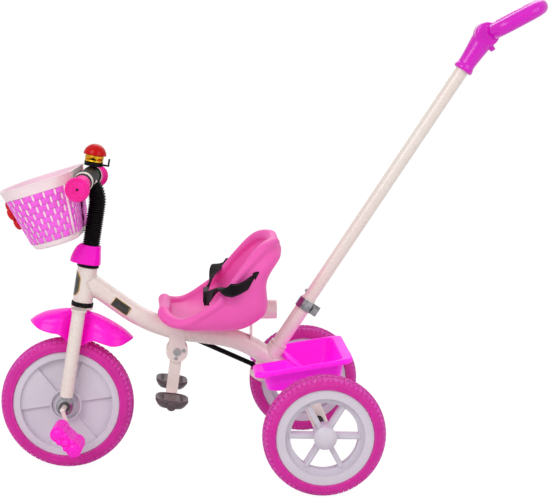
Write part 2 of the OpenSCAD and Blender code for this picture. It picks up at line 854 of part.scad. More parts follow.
module bellows() {
    count = 2 * bellows_ribs;
    outside = [for (k = [0:count])
        bellows_ring(bellows_len * k / count, bellows_r - (k % 2) * bellows_groove)];
    inside = [for (k = [bellows_ribs:-1:0]) bellows_ring(bellows_len * k / bellows_ribs, steerer_r + gap)];
    color("black") steered() ring_tube(concat(outside, inside));
}

fairing_sides = 32;
fairing_levels = 6;
function fairing_ring(h, wall) =
    [for (k = [0:fairing_sides - 1]) let (
        a = 360 * k / fairing_sides,
        body = mix(fairing_r, fairing_r * fairing_top_share, smooth(h)),
        visor = visor_reach * pow(max(0, -cos(a)), 2) * pow(max(0, 1 - h / visor_share), 2),
        r = body + visor - wall)
        [r * cos(a), r * sin(a), fairing_low + h * fairing_h]];

module fairing() {
    outside = [for (i = [0:fairing_levels]) fairing_ring(i / fairing_levels, 0)];
    inside = [for (i = [fairing_levels:-1:0]) fairing_ring(i / fairing_levels, guard_wall)];
    color("hotpink") steered() ring_tube(concat(outside, inside));
}

module bar_frame() {
    steered() translate([bar_x, 0, bar_z]) children();
}

// Frame along an arm of the handlebar, from the end of its straight middle
module arm_frame(side) {
    bar_frame() mirror([0, side < 0 ? 1 : 0, 0]) translate([0, bar_mid, 0]) rotate([-90 - bar_droop, 0, 0])
        children();
}

module bar_line(r, l) {
    bar_frame() wheel_plane() cylinder(r = r, h = 2 * bar_mid, center = true);
    for (side = [-1, 1]) arm_frame(side) {
        sphere(r);
        cylinder(r = r, h = l);
    }
}

module handlebar() {
    arm = arm_len - grip_end_wall - fit;
    color("black") difference() {
        bar_line(steerer_r, arm);
        bar_line(steerer_r - stem_wall, arm + cut);
    }
}

module bar_sleeve() {
    color("black") difference() {
        bar_line(sleeve_r, sleeve_arm);
        bar_line(steerer_r + fit, sleeve_arm + cut);
        bar_frame() rotate([0, 180 - stem_bend, 0]) cylinder(r = steerer_r + fit, h = 2 * sleeve_r);
    }
}

module grip() {
    translate([0, 0, arm_len - grip_len]) difference() {
        union() {
            cylinder(r = grip_r, h = grip_len);
            translate([0, 0, grip_len - grip_disc_t])
                cylinder(r1 = grip_r, r2 = grip_disc_r, h = grip_disc_t / 2);
            translate([0, 0, grip_len - grip_disc_t / 2]) cylinder(r = grip_disc_r, h = grip_disc_t / 2);
        }
        translate([0, 0, -cut]) cylinder(r = steerer_r + fit, h = grip_len - grip_end_wall + cut);
        cylinder(r = grip_end_hole_r, h = grip_len + cut);
    }
}

module grips() {
    color("deeppink") for (side = [-1, 1]) arm_frame(side) grip();
}

// Mudguard: an arched shell, widest at the fork legs
guard_steps = 24;
guard_across = 16;
function guard_row(f, wall) =
    let (a = mix(-guard_half_angle, guard_half_angle, f), e = pow(abs(2 * f - 1), 2),
         w = mix(guard_half_w, guard_tip_half_w, e) - wall,
         d = mix(guard_skirt, guard_tip_skirt, e))
    [for (k = [0:guard_across]) let (
        u = mix(-90, 90, k / guard_across),
        r = guard_r - wall,
        drop = d * (1 - cos(u)))
        [guard_x + r * sin(a), w * sin(u), guard_arc_z + r * cos(a) - drop]];

module mudguard() {
    outer = [for (i = [0:guard_steps]) guard_row(i / guard_steps, 0)];
    inner = [for (i = [0:guard_steps]) guard_row(i / guard_steps, guard_wall)];
    color("deeppink") steered() difference() {
        union() {
            shell_solid(inner, outer);
            translate([0, 0, guard_arc_z + guard_r - guard_wall / 2])
                cylinder(r = guard_boss_r, h = crown_low - guard_arc_z - guard_r + guard_wall / 2);
        }
        for (side = [0, 180]) rotate(side) {
            translate([0, leg_y, 0]) cylinder(r = leg_r + gap, h = crown_low);
            translate([-leg_r - gap, leg_y, 0]) cube([2 * (leg_r + gap), guard_half_w, crown_low]);
        }
    }
}

// Pin on the crown's right lobe that pulls the link rod
module steering_pin() {
    spacer_top = link_front_z - link_eye_h / 2 - 2 * gap;
    pin_top = link_front_z + link_eye_h / 2 + 2 * gap;
    color("silver") steered() translate([0, link_arm, 0]) {
        translate([0, 0, crown_top]) cylinder(r = pin_spacer_r, h = spacer_top - crown_top);
        translate([0, 0, crown_top]) cylinder(r = pin_r, h = pin_top - crown_top);
        translate([0, 0, pin_top]) cylinder(r = pin_spacer_r, h = washer_h);
    }
}

// Bell

bell_low = sleeve_r + strap_ring_wall + 2 * gap;
bell_clamp_w = 8;
bell_wall = 1.5;
bell_pivot_x = 8;
bell_pivot_r = 1.5;
bell_root_r = 5;
bell_slot_half_w = 12;
bell_drop = (bell_y - bar_mid) * tan(bar_droop);
bell_lever_low = (bell_base_h - tab_t) / 2;

module bell_frame() {
    bar_frame() translate([0, bell_y, bell_low - bell_drop]) children();
}

module bell_base() {
    post_top = bell_base_h + bell_ring_h + bell_dome_h - bell_wall - cut;
    color("black") difference() {
        union() {
            arm_frame(1) translate([0, 0, (bell_y - bar_mid) / cos(bar_droop) - bell_clamp_w / 2])
                cylinder(r = sleeve_r + strap_ring_wall, h = bell_clamp_w);
            bell_frame() {
                cylinder(r = bell_ring_r, h = bell_base_h);
                translate([0, 0, -bell_low]) cylinder(r = bell_clamp_w / 2, h = bell_low + cut);
                cylinder(r = bell_pivot_r * 2, h = post_top);
            }
        }
        bar_line(sleeve_r + fit, sleeve_arm + cut);
        bell_frame() difference() {
            translate([bell_pivot_x - bell_root_r - gap, -bell_slot_half_w, bell_lever_low - gap])
                cube([2 * bell_ring_r, 2 * bell_slot_half_w, tab_t + 2 * gap]);
            translate([bell_pivot_x, 0, 0]) cylinder(r = bell_pivot_r, h = bell_base_h);
        }
    }
}

module bell_ring() {
    color("gold") bell_frame() translate([0, 0, bell_base_h])
        ring(bell_ring_r, bell_ring_r - bell_wall, bell_ring_h);
}

module bell_dome() {
    sphere_r = (bell_dome_r * bell_dome_r + bell_dome_h * bell_dome_h) / (2 * bell_dome_h);
    dome_low = bell_base_h + bell_ring_h + fit;
    color("red") bell_frame() translate([0, 0, dome_low]) difference() {
        translate([0, 0, bell_dome_h - sphere_r]) sphere(sphere_r, $fn = segments_fine);
        translate([0, 0, bell_dome_h - sphere_r]) sphere(sphere_r - bell_wall, $fn = segments_fine);
        translate([0, 0, -2 * sphere_r]) cylinder(r = 2 * sphere_r, h = 2 * sphere_r);
    }
    color("red") bell_frame() translate([0, 0, dome_low])
        ring(bell_dome_r - bell_wall / 2, bell_pivot_r * 2 + fit, bell_wall);
}

module bell_lever() {
    color("black") bell_frame() difference() {
        union() {
            translate([bell_pivot_x, 0, bell_lever_low]) cylinder(r = bell_root_r, h = tab_t);
            translate([bell_pivot_x, -bell_lever_w / 2, bell_lever_low])
                cube([bell_lever_reach - bell_pivot_x, bell_lever_w, tab_t]);
            translate([bell_lever_reach - tab_t, -bell_lever_w / 2, bell_lever_low])
                cube([tab_t, bell_lever_w, bell_tab_h]);
        }
        translate([bell_pivot_x, 0, -cut]) cylinder(r = bell_pivot_r + run_fit, h = bell_base_h + 2 * cut);
    }
}

// Front basket

basket_corner = 34;
basket_lip = 2.5;
basket_steps = 6;
flower_seat = 3;
basket_draft = (basket_top_l - basket_low_l) / 2 / basket_h;

module basket_frame() {
    steered() translate([-basket_back, 0, bar_z + basket_over]) rotate([0, -basket_tilt, 0])
        translate([-basket_top_l / 2, 0, 0]) children();
}

// Ring of the basket at a depth below its rim, drawn in by an inset
function basket_ring(depth, inset) =
    let (f = depth / basket_h, l = mix(basket_top_l, basket_low_l, f), w = mix(basket_top_w, basket_low_w, f))
    [for (p = plan_ring(l - 2 * inset, w - 2 * inset, basket_corner - inset, basket_bow, basket_steps))
        [p[0], p[1], -depth]];

// Straps that hold the basket to the bar, and the shallow seats for them in the basket's band
strap_ring_r = sleeve_r + fit + strap_ring_wall;
strap_seat_low = (bell_y - bell_clamp_w - bar_mid) / cos(bar_droop);
strap_seat_l = (strap_ring_y + strap_ring_w - bell_y + bell_clamp_w) / cos(bar_droop);

module strap_rings() {
    at = (strap_ring_y - bar_mid) / cos(bar_droop) - strap_ring_w / 2;
    color("white") for (side = [-1, 1]) arm_frame(side) translate([0, 0, at])
        ring(strap_ring_r, sleeve_r + fit, strap_ring_w);
}

module front_basket() {
    color("mistyrose") difference() {
        basket_frame() ring_solid([
            basket_ring(basket_h, 0), basket_ring(basket_band, 0), basket_ring(basket_band, -basket_lip),
            basket_ring(0, -basket_lip), basket_ring(0, basket_wall),
            basket_ring(basket_h - basket_wall, basket_wall)]);
        for (side = [-1, 1]) arm_frame(side) translate([0, 0, strap_seat_low])
            cylinder(r = strap_ring_r, h = strap_seat_l);
    }
}

module basket_flower() {
    depth = basket_h / 2;
    front = -basket_top_l / 2 - basket_bow + basket_draft * depth;
    color("red") basket_frame() difference() {
        translate([front, 0, -depth]) rotate([0, -90 + atan(basket_draft), 0])
            translate([0, 0, -flower_seat]) linear_extrude(flower_seat + flower_t) {
                circle(petal_ring_r * flower_heart_share);
                for (k = [0:4]) rotate(72 * k) translate([petal_ring_r, 0]) circle(petal_r);
            }
        ring_solid([basket_ring(basket_h, 0), basket_ring(basket_band, 0)]);
    }
}

// Front drive

module tyre(r, seat_r) {
    rotate_extrude($fn = segments_fine) intersection() {
        translate([seat_r, -tyre_w / 2]) square([r - seat_r, tyre_w]);
        translate([r - tread_crown_r, 0]) circle(tread_crown_r, $fn = segments_fine);
    }
}

module front_tyre() {
    color("mediumvioletred") steered() wheel_plane() tyre(front_wheel_r, front_rim_r);
}

module front_rim() {
    inner_r = front_rim_r - front_band;
    color("lavender") steered() wheel_plane() difference() {
        union() {
            centred_ring(front_rim_r, inner_r, rim_w);
            centred_ring(inner_r + cut, axle_r, front_disc_t);
            centred_ring(front_hub_r, axle_r, front_hub_w);
            for (k = [0:2]) rotate(sector_turn + 120 * k) rotate_extrude(angle = 60)
                translate([front_hub_r - cut, -front_disc_t / 2 - sector_step])
                    square([inner_r - front_hub_r + 2 * cut, front_disc_t + 2 * sector_step]);
        }
        for (face = [0, 1]) mirror([0, 0, face]) translate([0, 0, front_hub_w / 2 - sector_step])
            ring(front_hub_r * (1 - sector_inner_share), front_hub_r * hub_lip_share, front_hub_w);
    }
}

pin_end = crank_y + crank_r + gap + pedal_len + gap;
pedal_start = crank_y + crank_r + gap;

// Bent axle with both cranks and pedal pins
module crank_axle() {
    color("linen") steered() for (side = [0, 1]) rotate([0, 180 * side, 0]) mirror([0, side, 0]) {
        elbow = [0, -crank_y, 0];
        knee = [crank_len * cos(crank_angle), -crank_y, -crank_len * sin(crank_angle)];
        rod([0, 0, 0], [0, -crank_y, 0], axle_r);
        translate(elbow) sphere(axle_r);
        rod(elbow, knee, crank_r);
        translate(knee) sphere(crank_r);
        rod(knee, knee + [0, -(pin_end - crank_y) - cap_wall, 0], crank_r);
    }
}

module pedal_place(side) {
    steered() rotate([0, side > 0 ? 180 : 0, 0]) mirror([0, side > 0 ? 1 : 0, 0])
        translate([crank_len * cos(crank_angle), -pedal_start, -crank_len * sin(crank_angle)])
            rotate([90, 0, 0]) children();
}

module pedal(turn) {
    difference() {
        rotate([0, 0, turn]) union() {
            for (end = [-1, 1]) translate([end * pedal_lobe_gap / 2, 0, 0])
                cylinder(r = pedal_lobe_r, h = pedal_len);
            translate([-pedal_lobe_gap / 2, -pedal_waist / 2, 0])
                cube([pedal_lobe_gap, pedal_waist, pedal_len]);
        }
        translate([0, 0, -cut]) cylinder(r = crank_r + run_fit, h = pedal_len + 2 * cut);
    }
}

module pedal_left() {
    color("deeppink") pedal_place(-1) pedal(-pedal_tilt);
}

module pedal_right() {
    color("deeppink") pedal_place(1) pedal(-pedal_tilt);
}

// Push-on caps at the ends of the pedal pins
module pedal_caps() {
    color("silver") for (side = [-1, 1]) pedal_place(side) translate([0, 0, pin_end - pedal_start])
        ring(crank_r + cap_wall, crank_r + fit, cap_wall);
}

// Seat

// Rows from the front edge to the top: along, up, half width, side height
seat_shares = [
    [0.000, 0.150, 0.60, 0.06], [0.050, 0.092, 0.77, 0.20], [0.190, 0.016, 0.93, 0.50],
    [0.405, 0.000, 1.00, 0.85], [0.590, 0.018, 1.00, 1.00], [0.700, 0.100, 0.98, 1.02],
    [0.772, 0.256, 0.94, 0.92], [0.860, 0.524, 0.87, 0.74], [0.944, 0.830, 0.74, 0.50],
    [1.000, 1.000, 0.54, 0.24]];
seat_steps = 3;
seat_across = 20;
seat_rows = (len(seat_shares) - 1) * seat_steps;
function seat_line(i) =
    let (row = on_curve(seat_shares, i / seat_steps))
    [mix(seat_front_x, seat_top_x, row[0]), mix(seat_pan_z, seat_top_z, row[1]),
     row[2] * seat_half_w, row[3] * seat_side];
function seat_row(i) =
    let (a = seat_line(max(i - 1, 0)), b = seat_line(min(i + 1, seat_rows)), p = seat_line(i),
         along = unit([b[0] - a[0], b[1] - a[1]]))
    [for (k = [0:seat_across]) let (u = mix(-90, 90, k / seat_across), h = p[3] * (1 - cos(u)))
        [p[0] - along[1] * h, p[2] * sin(u), p[1] + along[0] * h]];
seat_grid = [for (i = [0:seat_rows]) seat_row(i)];
belt_slot = [mix(seat_front_x, seat_top_x, belt_slot_shares[0]), seat_half_w * belt_slot_shares[1],
             mix(seat_pan_z, seat_top_z, belt_slot_shares[2])];
belt_slot_gap = 1.5;
belt_steps = 4;
buckle_size = [10, 44, 28];
buckle_at = [mix(seat_front_x, seat_top_x, buckle_shares[0]), 0,
             mix(seat_pan_z, seat_top_z, buckle_shares[1])];
function belt_points(side) =
    let (slot = [belt_slot[0], side * belt_slot[1], belt_slot[2]],
         tip = buckle_at + [0, side * (buckle_size[1] / 2 + fit), 0],
         turn = tip + [0, side * belt_w, 0])
    [mix(turn, slot, belt_tail_share), slot, mix(turn, slot, belt_middle_share), turn, tip];

module belt_slot_cut(side) {
    points = belt_points(side);
    v = points[1] - points[3];
    translate(points[1]) rotate([0, -asin(v[2] / norm(v)), atan2(v[1], v[0])])
        cube([2 * belt_w, belt_t + 2 * belt_slot_gap, belt_w + 2 * belt_slot_gap], center = true);
}

module seat() {
    color("hotpink") difference() {
        placed() shell_solid(grid_offset(seat_grid, -seat_wall), seat_grid);
        seat_bolt_places() translate([0, 0, -cut]) cylinder(r = bolt_r + fit, h = seat_side);
        placed() for (side = [-1, 1]) belt_slot_cut(side);
    }
}

// Lap belt: two straps from the slots to the buckle
function belt_rings(side) =
    let (points = belt_points(side), count = (len(points) - 1) * belt_steps)
    [for (i = [0:count]) let (
        p = on_curve(points, i / belt_steps),
        ahead = i < count ? on_curve(points, (i + 1) / belt_steps) : points[4],
        behind = i < count ? on_curve(points, max(i - 1, 0) / belt_steps) : points[3],
        t = unit(ahead - behind),
        n = unit(cross([0, 0, 1], t)),
        w = cross(t, n))
        [for (c = [[1, -1], [1, 1], [-1, 1], [-1, -1]]) p + n * c[0] * belt_t / 2 + w * c[1] * belt_w / 2]];

module belt_left() {
    color("black") placed() ring_solid(belt_rings(-1));
}

module belt_right() {
    color("black") placed() ring_solid(belt_rings(1));
}

module buckle() {
    bar = buckle_size[1] * waist_flat_share;
    color("black") placed() translate(buckle_at) {
        cube(buckle_size, center = true);
        translate([-buckle_size[0] / 2, 0, 0]) cube([washer_h * 2, bar, bar], center = true);
    }
}

// Rear bin

bin_floor_z = crown_point[1] + hoop_r + gap;
bin_corner = 18;
bin_corner_steps = 4;
bin_rim_h = 10;
recess_end = crown_point[0] + main_r;
bin_bolt_y = hoop_y - hoop_bend_r - hoop_r;
bin_rear_x = bin_front_x + bin_l;
function bin_rim_z(x) = bin_front_z + (x - bin_front_x) * tan(bin_rise);
// Outline of the bin, drawn in by an inset, with the recess round the frame, wider on the link rod's side
function bin_outline(inset) =
    let (r = bin_corner, x0 = bin_front_x + inset, x1 = bin_rear_x - inset, y1 = bin_w / 2 - inset,
         corners = [[x0 + r, -y1 + r, 180], [x1 - r, -y1 + r, 270],
                    [x1 - r, y1 - r, 0], [x0 + r, y1 - r, 90]])
    concat([[x0, -recess_rear_half_w - inset]],
           [for (c = corners) for (k = [0:bin_corner_steps]) let (a = c[2] + 90 * k / bin_corner_steps)
               [c[0] + r * cos(a), c[1] + r * sin(a)]],
           [[x0, recess_half_w + inset], [recess_end + inset, recess_rear_half_w + inset],
            [recess_end + inset, -recess_rear_half_w - inset]]);
function bin_rim_ring(inset, drop) = [for (p = bin_outline(inset)) [p[0], p[1], bin_rim_z(p[0]) - drop]];
function bin_floor_ring(inset, z) = [for (p = bin_outline(inset)) [p[0], p[1], z]];

module rear_bin() {
    drawn_in = (bin_front_z - bin_floor_z) * tan(bin_draft);
    color("magenta") placed() difference() {
        ring_solid([bin_floor_ring(bin_rim + drawn_in, bin_floor_z), bin_rim_ring(bin_rim, bin_rim_h),
                    bin_rim_ring(0, bin_rim_h), bin_rim_ring(0, 0), bin_rim_ring(bin_rim + bin_wall, 0),
                    bin_floor_ring(bin_rim + drawn_in + bin_wall, bin_floor_z + bin_wall)]);
        bin_bolt_places() cylinder(r = bolt_r + fit, h = bin_front_z);
    }
}

module bin_bolt_places() {
    for (side = [-1, 1]) translate([crown_point[0], side * bin_bolt_y, crown_point[1]]) children();
}

// Bolts through the bin's floor into the hoop, under round caps
module bin_bolts() {
    head = bin_floor_z + bin_wall - crown_point[1] + fit;
    color("red") placed() bin_bolt_places() {
        translate([0, 0, hoop_r - 2 * hoop_wall]) cylinder(r = bolt_r, h = head - hoop_r + 2 * hoop_wall);
        translate([0, 0, head]) cylinder(r = bolt_head_r, h = bolt_head_h);
    }
}

// Push bar and steering link

module push_driver() {
    pin_top = link_rear_z + link_eye_h / 2 + link_play;
    color("linen") push_turned() {
        ring(driver_r, push_r + run_fit, driver_len);
        translate([0, 0, driver_flange_low]) ring(socket_r - gap, driver_r, driver_flange_h);
        translate([0, 0, lever_low]) difference() {
            linear_extrude(lever_t) {
                circle(driver_r + lever_t);
                translate([-link_eye_r, 0]) square([2 * link_eye_r, link_arm]);
                translate([0, link_arm]) circle(link_eye_r);
            }
            translate([0, 0, -cut]) cylinder(r = driver_r, h = lever_t + 2 * cut);
        }
        translate([0, link_arm, lever_low]) cylinder(r = pin_r, h = pin_top - lever_low);
        translate([0, link_arm, pin_top]) cylinder(r = pin_spacer_r, h = washer_h);
    }
}

module clamp_band() {
    band_r = driver_r + fit + clamp_t;
    ear = [4 * clamp_bolt_r, clamp_t, clamp_h];
    color("silver") push_turned() translate([0, 0, clamp_low]) difference() {
        union() {
            cylinder(r = band_r, h = clamp_h);
            translate([0, -ear[1] - clamp_t / 2, 0]) cube([band_r + ear[0], 2 * ear[1] + clamp_t, ear[2]]);
        }
        translate([0, 0, -cut]) cylinder(r = driver_r + fit, h = clamp_h + 2 * cut);
        translate([0, -clamp_t / 2, -cut]) cube([band_r + ear[0] + cut, clamp_t, clamp_h + 2 * cut]);
        translate([band_r + ear[0] / 2, 0, clamp_h / 2]) wheel_plane()
            cylinder(r = clamp_bolt_r + fit, h = clamp_h, center = true);
    }
}

module clamp_bolt() {
    band_r = driver_r + fit + clamp_t;
    seat_y = 3 * clamp_t / 2 + fit;
    color("dimgray") push_turned() translate([band_r + 2 * clamp_bolt_r, 0, clamp_low + clamp_h / 2]) {
        wheel_plane() cylinder(r = clamp_bolt_r, h = 2 * (seat_y + nut_h), center = true);
        for (side = [0, 1]) mirror([0, side, 0]) translate([0, seat_y, 0]) rotate([-90, 0, 0])
            cylinder(r = 2 * clamp_bolt_r, h = nut_h, $fn = 6);
    }
}

module push_tube() {
    color("linen") difference() {
        push_turned() translate([0, 0, push_low]) ring(push_r, push_r - push_wall, push_len);
        push_turned() translate([0, 0, button_z]) rotate([0, -90, 0])
            cylinder(r = button_r + run_fit, h = 2 * push_r);
    }
}

module snap_button() {
    color("silver") push_turned() translate([-push_r + 2 * push_wall, 0, button_z]) rotate([0, -90, 0])
        cylinder(r = button_r, h = button_h + 2 * push_wall);
}

// Closed loop of the push handle, in the XY plane with +X away from the sleeve
module handle_loop(r) {
    side = loop_l - 2 * loop_corner;
    cross_l = loop_w - 2 * loop_corner;
    for (flip = [0, 1]) mirror([0, flip, 0]) {
        translate([loop_corner, -loop_w / 2, 0]) straight_bar(r, side);
        translate([loop_corner + side, -loop_w / 2, 0]) bend_left(r, loop_corner, 90);
        translate([loop_corner, -loop_w / 2, 0]) mirror([1, 0, 0]) bend_left(r, loop_corner, 90);
    }
    for (end = [0, loop_l]) translate([end, -cross_l / 2, 0]) rotate([0, 0, 90]) straight_bar(r, cross_l);
}

module push_handle() {
    color("mediumvioletred") push_turned() difference() {
        union() {
            translate([0, 0, handle_low]) cylinder(r = handle_sleeve_r, h = push_top + cut - handle_low);
            translate([0, 0, push_top]) cylinder(r = handle_sleeve_r, h = handle_grip_r);
            translate([0, 0, push_top + handle_grip_r]) sphere(handle_sleeve_r);
            translate([0, 0, push_top + handle_grip_r]) rotate([0, -handle_rise - push_lean, 0])
                translate([loop_start, 0, 0]) handle_loop(handle_grip_r);
        }
        translate([0, 0, handle_low - cut]) cylinder(r = push_r + fit, h = push_top + cut + fit - handle_low);
    }
}

// Places of the link's two pins at rest
link_front = [link_front_z * sin(steer_rake) - link_arm * sin(steer_rest) * cos(steer_rake),
              link_arm * cos(steer_rest),
              front_wheel_r + link_front_z * cos(steer_rake) + link_arm * sin(steer_rest) * sin(steer_rake)];
link_rear = [foot_point[0] + link_rear_z * sin(push_lean) - link_arm * sin(steer_rest) * cos(push_lean),
             link_arm * cos(steer_rest),
             foot_point[1] + link_rear_z * cos(push_lean) + link_arm * sin(steer_rest) * sin(push_lean)];

// The rod's ends run level with their eyes before they bend to each other
link_reach = 18;
link_neck_share = 0.8;
link_ball_share = 1.15;
link_front_end = link_front + link_reach * [cos(steer_rake), 0, -sin(steer_rake)];
link_rear_end = link_rear - link_reach * [cos(push_lean), 0, -sin(push_lean)];

module link_neck() {
    start = pin_spacer_r + link_play;
    translate([start, 0, 0]) rotate([0, 90, 0]) cylinder(r = link_r * link_neck_share, h = link_reach - start);
}

module link_rod() {
    color("black") placed() difference() {
        union() {
            rod(link_front_end, link_rear_end, link_r);
            for (end = [link_front_end, link_rear_end]) translate(end) sphere(link_r * link_ball_share);
            translate(link_front) rotate([0, steer_rake, 0]) {
                cylinder(r = link_eye_r, h = link_eye_h, center = true);
                link_neck();
            }
            translate(link_rear) rotate([0, push_lean, 0]) {
                cylinder(r = link_eye_r + link_play, h = link_eye_h, center = true);
                mirror([1, 0, 0]) link_neck();
            }
        }
        translate(link_front) rotate([0, steer_rake, 0])
            cylinder(r = pin_r + gap, h = 2 * link_eye_h, center = true);
        translate(link_rear) rotate([0, push_lean, 0])
            cylinder(r = pin_r + link_play, h = 2 * link_eye_h, center = true);
    }
}

// Rear wheels

module rear_place(side) {
    placed() mirror([0, side > 0 ? 1 : 0, 0]) translate([wheelbase, -rear_track / 2, axle_z]) wheel_plane()
        children();
}

module rear_rim() {
    ring_r = rear_rim_r - rear_ring;
    centred_ring(rear_rim_r, ring_r, rim_w);
    centred_ring(ring_r, rear_window_r, rear_web_t);
    centred_ring(rear_hub_r, bush_r, rear_hub_w);
    for (k = [0:5]) rotate(spoke_turn + 60 * k) {
        reach = rear_window_r - rear_hub_r + 2 * cut;
        translate([rear_hub_r - cut, -spoke_w / 2, -spoke_t / 2]) cube([reach, spoke_w, spoke_t]);
        translate([rear_hub_r - cut, -spoke_ridge_w / 2, -spoke_t / 2 - spoke_ridge_h])
            cube([reach, spoke_ridge_w, spoke_t + 2 * spoke_ridge_h]);
    }
}

module rear_bush() {
    centred_ring(bush_r - fit, axle_r + run_fit, rear_hub_w);
}

module hub_cap() {
    dome_r = (hub_cap_r * hub_cap_r + hub_cap_h * hub_cap_h) / (2 * hub_cap_h);
    translate([0, 0, rear_hub_w / 2 + fit]) intersection() {
        translate([0, 0, hub_cap_h - dome_r]) sphere(dome_r, $fn = segments_fine);
        cylinder(r = 2 * hub_cap_r, h = hub_cap_h);
    }
}

module rear_tyre_left() {
    color("mediumvioletred") rear_place(-1) tyre(rear_wheel_r, rear_rim_r);
}

module rear_tyre_right() {
    color("mediumvioletred") rear_place(1) tyre(rear_wheel_r, rear_rim_r);
}

module rear_rim_left() {
    color("lavender") rear_place(-1) rear_rim();
}

module rear_rim_right() {
    color("lavender") rear_place(1) rear_rim();
}

module rear_bush_left() {
    color("black") rear_place(-1) rear_bush();
}

module rear_bush_right() {
    color("black") rear_place(1) rear_bush();
}

module hub_cap_left() {
    color("lavender") rear_place(-1) hub_cap();
}

module hub_cap_right() {
    color("lavender") rear_place(1) hub_cap();
}

// Footrest

bracket_w = 30;
bracket_top = main_2[1] + 2 * main_wall - foot_pivot_z;
rivet_r = 2.5;
rivet_head_r = 3.5;
pad_corner = 12;
pad_over = 10;
pad_slots = 5;
pad_slot_w = 3;
foot_bar_r = 7;
foot_eye_r = foot_leg_w / 2;
foot_leg_t = bracket_gap - 2 * gap;

module foot_place() {
    placed() translate([foot_pivot_x, 0, foot_pivot_z]) children();
}

module footrest_bracket() {
    color("linen") difference() {
        foot_place() wheel_plane() for (side = [0, 1]) mirror([0, 0, side])
            translate([0, 0, bracket_gap / 2]) difference() {
                linear_extrude(bracket_t) {
                    circle(bracket_r);
                    translate([-bracket_w / 2, 0]) square([bracket_w, bracket_top]);
                }
                translate([0, 0, -cut]) cylinder(r = pivot_bolt_r + fit, h = bracket_t + 2 * cut);
                for (p = rivet_place_shares) translate(p * bracket_r)
                    translate([0, 0, -cut]) cylinder(r = rivet_r + fit, h = bracket_t + 2 * cut);
            }
        placed() wheel_plane() main_line(main_r);
    }
}

// Pivot bolt with its nut, and the rivets beside it
module footrest_bolts() {
    outer = bracket_gap / 2 + bracket_t;
    color("silver") foot_place() {
        wheel_plane() cylinder(r = pivot_bolt_r, h = 2 * outer, center = true);
        for (side = [0, 1]) mirror([0, side, 0]) translate([0, -outer, 0]) wheel_plane() {
            cylinder(r = pivot_head_r, h = pivot_head_h);
            for (p = rivet_place_shares) translate(p * bracket_r) {
                translate([0, 0, -bracket_t]) cylinder(r = rivet_r, h = bracket_t);
                cylinder(r = rivet_head_r, h = washer_h);
            }
        }
    }
}

module foot_leg_frame() {
    foot_place() rotate([0, foot_lean, 0]) children();
}

module footrest_leg() {
    color("linen") foot_leg_frame() difference() {
        union() {
            wheel_plane() cylinder(r = foot_eye_r, h = foot_leg_t, center = true);
            translate([-foot_leg_w / 2, -foot_leg_t / 2, -foot_leg_len])
                cube([foot_leg_w, foot_leg_t, foot_leg_len]);
            translate([0, 0, -foot_leg_len]) wheel_plane()
                cylinder(r = foot_bar_r, h = 2 * pad_y + pad_w - 2 * cut, center = true);
        }
        wheel_plane() cylinder(r = pivot_bolt_r + run_fit, h = bracket_gap, center = true);
    }
}

module pad_shape() {
    inner = [pad_l - 2 * pad_corner, pad_w - 2 * pad_corner];
    square([pad_l, inner[1]], center = true);
    square([inner[0], pad_w], center = true);
    for (x = [-1, 1]) for (y = [-1, 1]) translate([x * inner[0] / 2, y * inner[1] / 2]) circle(pad_corner);
}

module footrest_pads() {
    pitch = pad_l / (pad_slots + 1);
    slot_l = pad_w - 2 * pad_corner;
    color("dimgray") foot_leg_frame() for (side = [-1, 1])
        translate([0, side * pad_y, pad_over - pad_t - foot_leg_len]) difference() {
            linear_extrude(pad_t) pad_shape();
            for (k = [1:pad_slots]) translate([k * pitch - pad_l / 2 - pad_slot_w / 2, -slot_l / 2, pad_t - cut])
                cube([pad_slot_w, slot_l, 2 * cut]);
            translate([0, 0, pad_t - pad_over]) wheel_plane()
                cylinder(r = foot_bar_r + fit, h = 2 * pad_w, center = true);
        }
}

// Plain plates on the head tube and on the main tube
plate_r = 10;
plate_rise = 14;
tube_plate_l = 34;
tube_plate_at = 42;

module label_plates() {
    color("goldenrod") head_frame() translate([0, 0, head_foot + head_len / 2]) intersection() {
        centred_ring(head_r + fit + plate_t, head_r + fit, head_len);
        rotate([0, -90, 0]) linear_extrude(2 * head_r) {
            square([plate_rise, 2 * plate_r], center = true);
            for (end = [-1, 1]) translate([end * plate_rise / 2, 0]) circle(plate_r);
        }
    }
    color("goldenrod") placed() translate([main_start[0], 0, main_start[1]]) rotate([0, main_head_slope, 0])
        intersection() {
            translate([tube_plate_at, 0, 0]) rotate([0, 90, 0])
                ring(main_r + fit + plate_t, main_r + fit, tube_plate_l);
            translate([tube_plate_at - cut, -2 * main_r, -main_r / 2])
                cube([tube_plate_l + 2 * cut, 2 * main_r, main_r]);
        }
}

head_tube();
headset_cups();
main_tube();
push_socket();
rear_hoop();
rear_axle();
axle_spacers();
seat_rail();
seat_bolts();
seat();
belt_left();
belt_right();
buckle();
rear_bin();
bin_bolts();
footrest_bracket();
footrest_bolts();
label_plates();
fork_crown();
fork_legs();
dropouts();
fork_bushes();
steerer_stem();
bellows();
fairing();
handlebar();
bar_sleeve();
grips();
bell_base();
bell_ring();
bell_dome();
bell_lever();
front_basket();
strap_rings();
basket_flower();
mudguard();
steering_pin();
front_tyre();
front_rim();
crank_axle();
pedal_caps();
pedal_left();
pedal_right();
rear_tyre_left();
rear_tyre_right();
rear_rim_left();
rear_rim_right();
rear_bush_left();
rear_bush_right();
hub_cap_left();
hub_cap_right();
push_driver();
clamp_band();
clamp_bolt();
push_tube();
push_handle();
snap_button();
link_rod();
footrest_leg();
footrest_pads();
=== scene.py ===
"""Looks of a toddler push-along trike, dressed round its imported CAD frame.

Sizes are millimetres from the point on the ground under the front axle, with X to the rear, Y to
the rider's right and Z up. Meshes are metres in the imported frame.
"""

import json
import logging
import math
from dataclasses import dataclass, field
from enum import Enum
from functools import cache

import bmesh
import bpy
import numpy as np
from mathutils import Matrix, Vector

